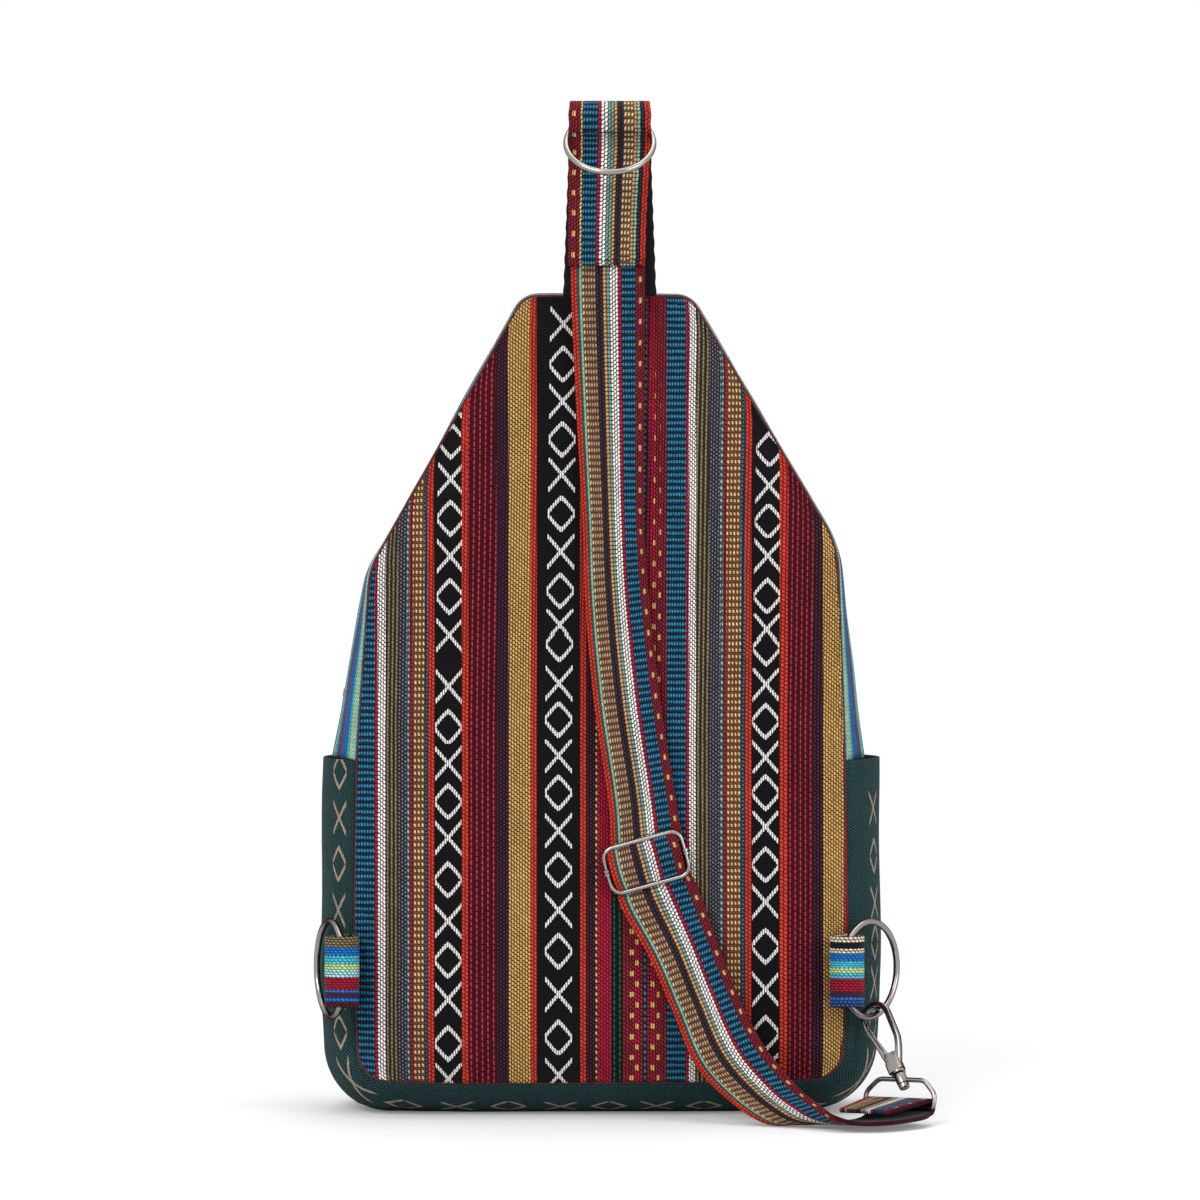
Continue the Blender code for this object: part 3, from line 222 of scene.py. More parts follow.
# Strap, from its orange edge to its maroon edge
STRAP_CLOTH = [
    (2.8, "brick", "orange", "braid"), (0.9, "deep_teal", "green", "float"),
    (1.0, "ash", "mint", "float"), (1.4, "dusk", "straw", "seed"),
    (4.6, "dusk", "amber", "seed"), (3.0, "slate", "dusk", "speck"),
    (1.6, "mulberry", "amber", "float"), (1.4, "deep_teal", "ash", "float"),
    (3.6, "char", "white", "float"), (1.5, "wine", "crimson", "float"),
    (6.0, "navy", "blue", "dash"), (4.2, "claret", "madder", "float", "straw", "spots"),
]
# Loop at the top, from its maroon edge to its orange edge
LOOP_CLOTH = [
    (4.6, "claret", "madder", "float", "straw", "spots"), (0.9, "umber", "straw", "float"),
    (5.8, "navy", "blue", "dash"), (1.3, "wine", "crimson", "float"),
    (2.7, "char", "white", "float"), (2.3, "deep_teal", "ash", "float"),
    (1.4, "umber", "amber", "float"), (2.3, "slate", "dusk", "speck"),
    (4.0, "dusk", "straw", "seed"), (1.3, "mulberry", "amber", "float"),
    (1.3, "deep_teal", "mint", "float"), (1.6, "navy", "dusk", "speck"),
    (2.4, "brick", "orange", "braid"),
]
TAB_CLOTH = [
    (2.6, "umber", "cream", "float"), (2.6, "char", "soot", "float"),
    (2.2, "umber", "cream", "float"), (3.4, "cobalt", "azure", "float"),
    (3.0, "sea", "turquoise", "float"), (2.2, "moss", "lime", "float"),
    (2.4, "sea", "turquoise", "float"), (5.8, "wine", "crimson", "float"),
    (2.4, "violet", "plum", "speck"), (1.4, "cobalt", "azure", "float"),
    (3.0, "violet", "azure", "speck"),
]
LEFT_TAB_CLOTH = [
    (4.6, "bark", "tan", "float"), (3.6, "cobalt", "azure", "float"),
    (3.6, "sea", "turquoise", "float"), (2.2, "moss", "lime", "float"),
    (3.4, "sea", "pale_aqua", "float"), (5.4, "wine", "crimson", "float"),
    (1.2, "cobalt", "azure", "float"), (2.2, "violet", "plum", "speck"),
    (1.6, "cobalt", "azure", "float"), (2.4, "wine", "plum", "speck"),
]
BRIGHT_CLOTH = [
    (3.0, "sea", "pale_aqua", "float"), (3.6, "moss", "lime", "float"),
    (3.4, "sea", "turquoise", "float"), (9.0, "cobalt", "azure", "float"),
    (3.6, "wine", "crimson", "float"), (5.0, "ink", "sea", "float"),
    (6.0, "sea", "turquoise", "float"), (4.0, "moss", "lime", "float"),
    (7.0, "cobalt", "azure", "float"), (3.0, "wine", "crimson", "float"),
]
# The green cloth floats a lighter green over its dark ground: painted highlight on the tops of
# its pebbles
GREEN_CLOTH = [(36.0, "gusset", "gusset_light", "pebble", "sand", "gusset")]

# Woven signs on the three black bands of the back panel, from the top down: each a
# cross or a ring, with its middle height in metres
SIGNS = {
    "left": ("XOXOXOXXOXOXOXOXOX", (
        0.3068, 0.2910, 0.2747, 0.2579, 0.2418, 0.2245, 0.2079, 0.1860, 0.1684, 0.1529,
        0.1366, 0.1211, 0.1031, 0.0854, 0.0686, 0.0519, 0.0330, 0.0175)),
    "centre": ("XOXOXOXOXOXOXOXOXOXOX", (
        0.3412, 0.3240, 0.3081, 0.2918, 0.2768, 0.2600, 0.2437, 0.2269, 0.2123, 0.2041,
        0.1873, 0.1718, 0.1563, 0.1404, 0.1241, 0.1073, 0.0901, 0.0725, 0.0540, 0.0355,
        0.0192)),
    "right": ("OXOXOXOXOXOXOXOXOX", (
        0.2875, 0.2720, 0.2566, 0.2419, 0.2247, 0.2105, 0.2024, 0.1869, 0.1710, 0.1555,
        0.1404, 0.1258, 0.1095, 0.0936, 0.0746, 0.0562, 0.0373, 0.0218)),
}
# Signs of the green cloth, by their way along it from the left hip
SIGNS["gusset"] = ("OX" * 12, (
    0.0053, 0.0252, 0.0451, 0.0650, 0.0825, 0.0998, 0.1170, 0.1343, 0.1516, 0.1742, 0.1963,
    0.2189, 0.2397, 0.2605, 0.2809, 0.3020, 0.3230, 0.3400, 0.3570, 0.3750, 0.3920, 0.4089,
    0.4293, 0.4501))
# How far the green cloth is shifted towards the back, by place across, in metres
GREEN_SHIFT = [(-0.1050, 0.0073), (-0.0800, -0.0018), (0.0800, -0.0018), (0.1050, -0.0055)]
SPOT_PITCH = 0.0090
SIGN_KINDS = {"X": 1, "O": 2, "S": 3}


class SlingBagSettings(bpy.types.PropertyGroup):
    """Sizes and colours that a user would change"""

    mesh_step: FloatProperty(
        name="Cloth mesh step", description="Spacing of the mesh of the cloth pieces",
        default=0.0018, min=0.0008, max=0.01, unit="LENGTH",
    )
    puckers: FloatProperty(
        name="Seam puckers", description="Height of the small folds beside the seams",
        default=0.00045, min=0.0, max=0.002, unit="LENGTH",
    )
    relief: FloatProperty(
        name="Yarn relief", description="Height of a yarn float over the ground weave",
        default=0.00035, min=0.0, max=0.001, unit="LENGTH",
    )
    stitch_length: FloatProperty(
        name="Stitch length", description="Length of one machine stitch",
        default=0.0026, min=0.001, max=0.006, unit="LENGTH",
    )
    wire_sides: IntProperty(
        name="Wire sides", description="Sides of the round metal wires",
        default=20, min=8, max=48,
    )
    # The nickel colour is darker than plated nickel: painted shade standing in for the dark
    # surroundings that the fittings reflect
    nickel: FloatVectorProperty(
        name="Nickel", description="Colour of the metal fittings", subtype="COLOR",
        size=3, default=(0.33, 0.30, 0.28), min=0.0, max=1.0,
    )
    floor: FloatVectorProperty(
        name="Floor", description="Colour of the floor", subtype="COLOR",
        size=3, default=(0.86, 0.86, 0.87), min=0.0, max=1.0,
    )


# ---------------------------------------------------------------- materials


def shade(code):
    """A linear colour from an sRGB hex value."""
    parts = [int(code[i : i + 2], 16) / 255 for i in (1, 3, 5)]
    return [c / 12.92 if c <= 0.04045 else ((c + 0.055) / 1.055) ** 2.4 for c in parts] + [1.0]


def put(tree, kind, inputs=(), out=0, **settings):
    """Adds one node with its settings and links, and gives one of its outputs."""
    made = tree.nodes.new(kind)
    for key, value in settings.items():
        setattr(made, key, value)
    pairs = inputs.items() if isinstance(inputs, dict) else enumerate(inputs)
    for slot, value in pairs:
        if isinstance(value, bpy.types.NodeSocket):
            tree.links.new(value, made.inputs[slot])
        elif value is not None:
            made.inputs[slot].default_value = value
    return made.outputs[out] if out is not None else made


def finish_named(name):
    """A new material with an empty tree and its surface, and whether it is new."""
    made = bpy.data.materials.get(name)
    if made:
        return made, None, None
    made = bpy.data.materials.new(name)
    made.use_nodes = True
    tree = made.node_tree
    return made, tree, tree.nodes["Principled BSDF"]


MATH, MIX, VECTOR = "ShaderNodeMath", "ShaderNodeMix", "ShaderNodeVectorMath"


def woven_cotton():
    """Warp-faced cotton: matt, soft sheen, small round yarn floats over a dark ground."""
    made, tree, surface = finish_named("woven_cotton_stripes")
    if not tree:
        return made
    settings = bpy.context.scene.sling_bag
    uv = put(tree, "ShaderNodeUVMap", uv_map="weave")
    blur = put(tree, "ShaderNodeTexNoise", {"Vector": uv, "Scale": 420.0, "Detail": 1.0}, out=1)
    jitter = put(tree, VECTOR, (blur, (0.5, 0.5, 0.5)), operation="SUBTRACT")
    moved = put(tree, VECTOR, (jitter, (0.00035, 0.00050, 0.0), uv), operation="MULTIPLY_ADD")
    mm = put(tree, VECTOR, (moved, (1000.0, 1000.0, 0.0)), operation="MULTIPLY")
    across = put(tree, "ShaderNodeSeparateXYZ", (mm,), out=0)
    along = across.node.outputs[1]
    ground = put(tree, "ShaderNodeAttribute", attribute_name="ground")
    yarn = put(tree, "ShaderNodeAttribute", attribute_name="yarn")
    thread = put(tree, "ShaderNodeAttribute", attribute_name="thread")
    weave = put(tree, "ShaderNodeAttribute", attribute_name="weave_size", out=1)
    floats = put(tree, "ShaderNodeAttribute", attribute_name="float_size", out=1)
    sign = put(tree, "ShaderNodeAttribute", attribute_name="sign", out=1)
    pitch = put(tree, "ShaderNodeSeparateXYZ", (weave,))
    rows, shift = pitch.node.outputs[1], pitch.node.outputs[2]
    half_x = put(tree, "ShaderNodeSeparateXYZ", (floats,))
    half_y, start = half_x.node.outputs[1], half_x.node.outputs[2]
    sign_x = put(tree, "ShaderNodeSeparateXYZ", (sign,))
    sign_y, sign_kind = sign_x.node.outputs[1], sign_x.node.outputs[2]

    # One float in its own cell
    column = put(
        tree, MATH, (put(tree, MATH, (across, start), operation="SUBTRACT"), pitch),
        operation="DIVIDE",
    )
    index = put(tree, MATH, (column,), operation="FLOOR")
    cell_x = put(
        tree, MATH, (put(tree, MATH, (column,), operation="FRACT"), 0.5), operation="SUBTRACT",
    )
    odd = put(tree, MATH, (index, 2.0), operation="FLOORED_MODULO")
    step = put(tree, MATH, (odd, shift), operation="MULTIPLY")
    row = put(
        tree, MATH, (put(tree, MATH, (along, rows), operation="DIVIDE"), step), operation="ADD",
    )
    lean = put(tree, MATH, (cell_x, 0.22, row), operation="MULTIPLY_ADD")
    cell_y = put(
        tree, MATH, (put(tree, MATH, (lean,), operation="FRACT"), 0.5), operation="SUBTRACT",
    )
    wide = put(tree, MATH, (cell_x, half_x), operation="DIVIDE")
    near_x = put(tree, MATH, (wide, wide), operation="MULTIPLY")
    tall = put(tree, MATH, (cell_y, half_y), operation="DIVIDE")
    away = put(tree, MATH, (tall, tall, near_x), operation="MULTIPLY_ADD")
    is_float = put(
        tree, "ShaderNodeMapRange", (away, 0.70, 1.15, 1.0, 0.0),
        interpolation_type="SMOOTHSTEP",
    )
    mound = put(tree, "ShaderNodeMapRange", (away, 0.0, 1.2, 1.0, 0.0))

    # Signs of short strokes, one for each pair of warp yarns: 1 cross, 2 ring, 3 spot
    stroke = put(tree, MATH, (across, STROKE_PITCH), operation="DIVIDE")
    middle = put(
        tree, MATH, (put(tree, MATH, (stroke,), operation="FLOOR"), 0.5), operation="ADD",
    )
    inside = put(
        tree, MATH, (put(tree, MATH, (stroke,), operation="FRACT"), 0.5), operation="SUBTRACT",
    )
    leant = put(tree, MATH, (inside, 0.75, middle), operation="MULTIPLY_ADD")
    aside = put(
        tree, MATH, (put(tree, MATH, (leant, STROKE_PITCH), operation="MULTIPLY"), sign_x),
        operation="SUBTRACT",
    )
    reach = put(tree, MATH, (aside,), operation="ABSOLUTE")
    level = put(tree, MATH, (along, sign_y), operation="SUBTRACT")
    height = put(tree, MATH, (level,), operation="ABSOLUTE")
    cross = put(tree, MATH, (reach, CROSS_SLOPE), operation="MULTIPLY")
    bow = put(
        tree, MATH, (put(tree, MATH, (reach, RING_WIDTH), operation="DIVIDE"), RING_POWER),
        operation="POWER",
    )
    ring = put(tree, MATH, (bow, -RING_HEIGHT, RING_HEIGHT), operation="MULTIPLY_ADD")
    ring = put(tree, MATH, (ring, 0.3), operation="MAXIMUM")
    is_ring = put(tree, MATH, (sign_kind, 1.5), operation="GREATER_THAN")
    wanted = put(tree, MIX, {0: is_ring, 2: cross, 3: ring})
    miss = put(
        tree, MATH, (put(tree, MATH, (height, wanted), operation="SUBTRACT"),),
        operation="ABSOLUTE",
    )
    spots = put(tree, MATH, (sign_kind, 2.5), operation="GREATER_THAN")
    miss = put(tree, MIX, {0: spots, 2: miss, 3: height})
    limit = put(tree, MIX, {0: spots, 2: SIGN_REACH, 3: SPOT_REACH})
    drawn = put(
        tree, "ShaderNodeMapRange", (miss, 0.95, 1.25, 1.0, 0.0),
        interpolation_type="SMOOTHSTEP",
    )
    slim = put(tree, MATH, (inside,), operation="ABSOLUTE")
    slim = put(
        tree, "ShaderNodeMapRange", (slim, 0.31, 0.42, 1.0, 0.0),
        interpolation_type="SMOOTHSTEP",
    )
    allowed = put(tree, MATH, (reach, limit), operation="LESS_THAN")
    known = put(tree, MATH, (sign_kind, 0.5), operation="GREATER_THAN")
    is_sign = put(
        tree, MATH, (put(tree, MATH, (drawn, slim), operation="MULTIPLY"), allowed),
        operation="MULTIPLY",
    )
    is_sign = put(tree, MATH, (is_sign, known), operation="MULTIPLY")

    # Colour, with random tone of fibres, of wear and of single yarns, and painted shade and
    # highlight on each round float
    weft = put(
        tree, MATH, (put(tree, MATH, (along, 2 * math.pi / WEFT_PITCH), operation="MULTIPLY"),),
        operation="SINE",
    )
    shown_weft = put(tree, "ShaderNodeMapRange", (weft, -0.2, 1.0, 0.0, 0.16))
    ground = put(tree, MIX, {0: shown_weft, 6: ground, 7: yarn}, out=2, data_type="RGBA")
    cloth = put(tree, MIX, {0: is_float, 6: ground, 7: yarn}, out=2, data_type="RGBA")
    fibre = put(tree, "ShaderNodeTexNoise", {"Vector": uv, "Scale": 2600.0, "Detail": 2.0})
    worn = put(tree, "ShaderNodeTexNoise", {"Vector": uv, "Scale": 45.0, "Detail": 3.0})
    light = put(tree, "ShaderNodeMapRange", (fibre, 0.25, 0.75, 0.80, 1.14))
    light = put(
        tree, MATH, (light, put(tree, "ShaderNodeMapRange", (worn, 0.3, 0.7, 0.90, 1.08))),
        operation="MULTIPLY",
    )
    # Painted shade and highlight: each float lighter in its middle, darker at its edges and in
    # the ground between floats
    float_painted_shade = put(tree, "ShaderNodeMapRange", (mound, 0.0, 1.0, 0.86, 1.12))
    light = put(tree, MATH, (light, float_painted_shade), operation="MULTIPLY")
    cell = put(
        tree, "ShaderNodeCombineXYZ", (index, put(tree, MATH, (lean,), operation="FLOOR")),
    )
    single = put(tree, "ShaderNodeTexWhiteNoise", {"Vector": cell}, noise_dimensions="2D")
    light = put(
        tree, MATH, (light, put(tree, "ShaderNodeMapRange", (single, 0.0, 1.0, 0.84, 1.12))),
        operation="MULTIPLY",
    )
    shown = put(
        tree, MIX, {0: 1.0, 6: cloth, 7: light}, out=2, data_type="RGBA", blend_type="MULTIPLY",
    )
    thread_light = put(tree, "ShaderNodeMapRange", (fibre, 0.25, 0.75, 0.90, 1.06))
    thread = put(
        tree, MIX, {0: 1.0, 6: thread, 7: thread_light}, out=2, data_type="RGBA",
        blend_type="MULTIPLY",
    )
    shown = put(tree, MIX, {0: is_sign, 6: shown, 7: thread}, out=2, data_type="RGBA")
    tree.links.new(shown, surface.inputs["Base Color"])
    surface.inputs["Roughness"].default_value = 0.9
    surface.inputs["Specular IOR Level"].default_value = 0.12
    surface.inputs["Sheen Weight"].default_value = 0.03
    surface.inputs["Sheen Roughness"].default_value = 0.5

    # Relief: floats and signs stand over fine weft ribs
    base = put(tree, MATH, (mound, 0.8), operation="MULTIPLY")
    base = put(tree, MATH, (weft, 0.10, base), operation="MULTIPLY_ADD")
    lifted = put(tree, MATH, (is_sign, 0.7, base), operation="MULTIPLY_ADD")
    lifted = put(tree, MATH, (fibre, 0.25, lifted), operation="MULTIPLY_ADD")
    bump = put(
        tree, "ShaderNodeBump",
        {"Strength": 0.9, "Distance": settings.relief, "Height": lifted},
    )
    tree.links.new(bump, surface.inputs["Normal"])
    return made


def plain_cloth(name, code, ribs, roughness=0.92):
    """Plain cotton in one dye: matt, with fine crossing yarns at ribs yarns a metre."""
    made, tree, surface = finish_named(name)
    if not tree:
        return made
    where = put(tree, "ShaderNodeTexCoord", out=3)
    grain = put(tree, "ShaderNodeTexNoise", {"Vector": where, "Scale": ribs, "Detail": 2.0})
    broad = put(tree, "ShaderNodeTexNoise", {"Vector": where, "Scale": 60.0, "Detail": 2.0})
    light = put(tree, "ShaderNodeMapRange", (grain, 0.3, 0.7, 0.75, 1.2))
    light = put(
        tree, MATH, (light, put(tree, "ShaderNodeMapRange", (broad, 0.3, 0.7, 0.9, 1.1))),
        operation="MULTIPLY",
    )
    shown = put(
        tree, MIX, {0: 1.0, 6: shade(code), 7: light}, out=2, data_type="RGBA",
        blend_type="MULTIPLY",
    )
    tree.links.new(shown, surface.inputs["Base Color"])
    surface.inputs["Roughness"].default_value = roughness
    surface.inputs["Specular IOR Level"].default_value = 0.2
    surface.inputs["Sheen Weight"].default_value = 0.08
    bump = put(tree, "ShaderNodeBump", {"Strength": 0.6, "Distance": 0.0002, "Height": grain})
    tree.links.new(bump, surface.inputs["Normal"])
    return made


def brushed_nickel():
    """Nickel-plated wire: bright, a little warm, with faint drawing marks; its dark colour and
    edge tint are painted shade in place of dark reflections.
    """
    made, tree, surface = finish_named("nickel_plate_painted_shade")
    if not tree:
        return made
    where = put(tree, "ShaderNodeTexCoord", out=3)
    marks = put(tree, "ShaderNodeTexNoise", {"Vector": where, "Scale": 900.0, "Detail": 3.0})
    rough = put(tree, "ShaderNodeMapRange", (marks, 0.3, 0.7, 0.14, 0.22))
    tree.links.new(rough, surface.inputs["Roughness"])
    surface.inputs["Base Color"].default_value = [*bpy.context.scene.sling_bag.nickel, 1.0]
    surface.inputs["Metallic"].default_value = 1.0
    # Dark edge tint: painted shade at the grazing edges, in place of dark reflections
    surface.inputs["Specular Tint"].default_value = shade("#3A322E")
    bump = put(tree, "ShaderNodeBump", {"Strength": 0.04, "Distance": 0.00005, "Height": marks})
    tree.links.new(bump, surface.inputs["Normal"])
    return made


def lining():
    """The cloth's inner side: plain black cotton, matt and without a pattern."""
    return plain_cloth("plain_cotton_lining", "#121217", 1500.0)


# ---------------------------------------------------------------- shapes of the bag


def interpolate(table, at):
    """The value at a place in a table of (place, value)."""
    places, values = zip(*table)
    return float(np.interp(at, places, values))


def divided(points, longest):
    """The polyline with no piece longer than longest."""
    done = [points[0]]
    for a, b in zip(points, points[1:]):
        steps = max(1, math.ceil((b - a).length / longest - 1e-6))
        done.extend(a + (b - a) * step / steps for step in range(1, steps + 1))
    return done


def rounded(corners, radii, longest, closed=False):
    """A polyline through corners in 2D with an arc at each inner corner."""
    corners = [Vector(corner) for corner in corners]
    if closed:
        corners = [corners[-1], *corners, corners[0]]
    points = [] if closed else [corners[0]]
    for before, at, after, radius in zip(corners, corners[1:], corners[2:], radii):
        inward, onward = (before - at).normalized(), (after - at).normalized()
        half = inward.angle(onward) / 2
        reach = radius / math.tan(half)
        centre = at + (inward + onward).normalized() * radius / math.sin(half)
        start = at + inward * reach - centre
        turn = start.angle_signed(at + onward * reach - centre)
        steps = max(1, math.ceil(abs(turn) / math.radians(6)))
        for step in range(steps + 1):
            points.append(centre + Matrix.Rotation(-turn * step / steps, 2) @ start)
    if closed:
        points.append(points[0])
    else:
        points.append(corners[-1])
    done = divided(points, longest)
    return done[:-1] if closed else done


def outward(points, closed=False):
    """Outward normals of a 2D line that runs with the bag on its left."""
    count = len(points)
    normals = []
    for i in range(count):
        after = points[(i + 1) % count if closed else min(i + 1, count - 1)]
        before = points[(i - 1) % count if closed else max(i - 1, 0)]
        along = after - before
        normals.append(Vector((along.y, -along.x)).normalized())
    return normals


def depth_at(z):
    """Depth of the bag between its seams at a height."""
    return interpolate([(HIP_Z, FULL_DEPTH), (TOP_Z, TOP_DEPTH)], z)


def lower_outline(step):
    """The seam below the hips, from the left hip round the base to the right."""
    return rounded(LOWER_CORNERS, LOWER_RADII, step)


def upper_outline(step):
    """The seam above the hips, from the right hip over the top to the left."""
    return rounded(UPPER_CORNERS, UPPER_RADII, step)


def seam_loop(step):
    """The whole seam as one closed line."""
    return lower_outline(step)[:-1] + upper_outline(step)[:-1]


def gusset_point(point, normal, place, lower, sunk=0.0):
    """A point of the gusset, place 0 at the back seam and 1 at the front seam."""
    if lower:
        bulge = LOWER_BULGE
    else:
        bulge = interpolate(LEFT_BULGE if point.x < 0 else RIGHT_BULGE, point.y)
    out = point + normal * (bulge * (1 - abs(2 * place - 1) ** BULGE_POWER) - sunk)
    return Vector((out.x, SEAM_Y + place * depth_at(point.y), max(out.y, CLOTH_WALL / 2)))


class Outline:
    """The seam ring, set in by a distance, as tables of its reach across and up."""

    def __init__(self, inset):
        loop = seam_loop(0.003)
        ring = [p - n * inset for p, n in zip(loop, outward(loop, True))]
        xs, zs = np.array([p.x for p in ring]), np.array([p.y for p in ring])
        self.left, self.right = xs.min() + 1e-4, xs.max() - 1e-4
        self.columns = np.linspace(self.left, self.right, 500)
        self.levels = np.linspace(zs.min() + 1e-4, zs.max() - 1e-4, 500)
        self.lows, self.highs = self.crossings(xs, zs, self.columns)
        self.lefts, self.rights = self.crossings(zs, xs, self.levels)

    @staticmethod
    def crossings(a, b, places):
        """Lowest and highest b of the ring where its a is at each place."""
        nexts_a, nexts_b = np.roll(a, -1), np.roll(b, -1)
        low, high = [], []
        for place in places:
            hit = ((a - place) * (nexts_a - place) <= 0) & (a != nexts_a)
            at = b[hit] + (nexts_b[hit] - b[hit]) * (place - a[hit]) / (nexts_a[hit] - a[hit])
            low.append(at.min())
            high.append(at.max())
        return np.array(low), np.array(high)

    def span(self, z):
        """Left and right end at a height."""
        return np.interp(z, self.levels, self.lefts), np.interp(z, self.levels, self.rights)

    def heights(self, x):
        """Lower and upper end at a place across."""
        return np.interp(x, self.columns, self.lows), np.interp(x, self.columns, self.highs)

    def distance(self, x, z):
        """Softly rounded distance to the seams."""
        low, high = self.heights(x)
        left, right = self.span(z)
        soft = 0.006
        parts = [x - left, right - x, high - z, z - low]
        total = sum(np.exp(-np.maximum(part, 0) / soft) for part in parts)
        return np.maximum(-soft * np.log(total), 0)

    def plateau(self, x, z):
        """Rises from 0 at the seams to 1 where the padding is full."""
        share = np.clip(self.distance(x, z) / 0.030, 0, 1)
        return share * (2 - share)


def lean(z):
    """How far the stripes of the back panel lean to the right, towards the top."""
    return 0.0022 * np.clip((z - 0.17) / 0.17, 0, 1.2)


def rough_cloth(x, z, seed, broad=0.0007, fine=0.00035):
    """Low soft folds of a cloth, the same in each run."""
    return np.vectorize(
        lambda a, b: broad * noise.noise(Vector((a * 24, b * 11, seed)))
        + fine * noise.noise(Vector((a * 70, b * 40, seed + 5)))
    )(x, z)


# ---------------------------------------------------------------- mesh makers


def bodied(made, body, slot_name, *nodes):
    """Puts a finished piece on its body and in the place of its solids, which it hides;
    slot_name is not used.
    """
    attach(made, body)
    if nodes:
        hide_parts(*nodes)
    return made


def linked(name, mesh):
    """A new object in the scene."""
    made = bpy.data.objects.new(name, mesh)
    bpy.context.scene.collection.objects.link(made)
    return made


def plain(made):
    """The object as its modifiers leave it, with a plain mesh and no modifiers."""
    bpy.context.view_layer.update()
    view = bpy.context.evaluated_depsgraph_get()
    mesh = bpy.data.meshes.new_from_object(made.evaluated_get(view))
    made.modifiers.clear()
    made.data = mesh
    return made


def sign_row(name, length):
    """Kinds and middles of the signs along a stripe of this length."""
    if name in SIGNS:
        letters, middles = SIGNS[name]
    else:
        count = int(length / SPOT_PITCH) + 2
        letters = "S" * count
        start = 0.0 if name == "spots" else 0.5
        middles = [SPOT_PITCH * (i + start) for i in range(count)]
    return np.array([SIGN_KINDS[letter] for letter in letters]), np.array(middles)


def stripe_table(stripes, step):
    """Column borders in metres from the first edge, and the stripe of each column."""
    borders, owners, at = [0.0], [], 0.0
    for i, stripe in enumerate(stripes):
        width = stripe[0] / 1000
        count = max(1, round(width / step))
        borders.extend(at + width * (k + 1) / count for k in range(count))
        owners.extend([(i, at)] * count)
        at += width
    return borders, owners


def cloth_mesh(name, grid, us, vs, stripes, owners, flip=False):
    """A grid of points as a mesh, with its weave as a UV map and face attributes.

    us and vs are the cloth's own measures of each point across and along, in metres."""
    grid, us, vs = (np.asarray(a, float) for a in (grid, us, vs))
    rows, columns = grid.shape[:2]
    index = np.arange(rows * columns).reshape(rows, columns)
    quads = np.stack([index[:-1, :-1], index[:-1, 1:], index[1:, 1:], index[1:, :-1]], -1)
    if flip:
        quads = quads[..., ::-1]
    quads = quads.reshape(-1, 4)
    mesh = bpy.data.meshes.new(name)
    mesh.from_pydata(grid.reshape(-1, 3).tolist(), [], quads.tolist())
    spots = np.stack([us.reshape(-1), vs.reshape(-1)], -1)
    mesh.uv_layers.new(name="weave").data.foreach_set("uv", spots[quads].reshape(-1))
    count = columns - 1
    middles = (vs[:-1, :-1] + vs[1:, 1:]) / 2
    colours = {
        key: np.zeros((rows - 1, count, 4), np.float32)
        for key in ("ground", "yarn", "thread")
    }
    sizes = {
        key: np.zeros((rows - 1, count, 3), np.float32)
        for key in ("weave_size", "float_size", "sign")
    }
    for c, (i, start) in enumerate(owners):
        width, ground, yarn, weave, *more = stripes[i]
        pitch, row, shift, half_x, half_y = WEAVES[weave]
        pitch = width / max(1, round(width / pitch))
        thread = more[0] if more else ground
        for key, dye in (("ground", ground), ("yarn", yarn), ("thread", thread)):
            colours[key][:, c] = shade(DYES[dye])
        sizes["weave_size"][:, c] = (pitch, row, shift)
        sizes["float_size"][:, c] = (half_x, half_y, start * 1000)
        if more:
            kinds, centres = sign_row(more[1], vs.max())
            nearest = np.abs(middles[:, c, None] - centres[None]).argmin(1)
            sizes["sign"][:, c, 0] = start * 1000 + width / 2
            sizes["sign"][:, c, 1] = centres[nearest] * 1000
            sizes["sign"][:, c, 2] = kinds[nearest]
    for key, values in colours.items():
        mesh.attributes.new(key, "FLOAT_COLOR", "FACE").data.foreach_set(
            "color", values.reshape(-1),
        )
    for key, values in sizes.items():
        mesh.attributes.new(key, "FLOAT_VECTOR", "FACE").data.foreach_set(
            "vector", values.reshape(-1),
        )
    work = bmesh.new()
    work.from_mesh(mesh)
    bmesh.ops.remove_doubles(work, verts=work.verts, dist=2e-6)
    work.to_mesh(mesh)
    work.free()
    mesh.materials.append(woven_cotton())
    mesh.materials.append(lining())
    mesh.shade_smooth()
    return mesh


def walled(name, mesh, wall, offset=0.0, lined=True):
    """The cloth with its thickness, and its lining on the inner side."""
    made = linked(name, mesh)
    shell = made.modifiers.new("wall", "SOLIDIFY")
    shell.thickness = wall
    shell.offset = offset
    if lined:
        shell.material_offset = 1
    return made


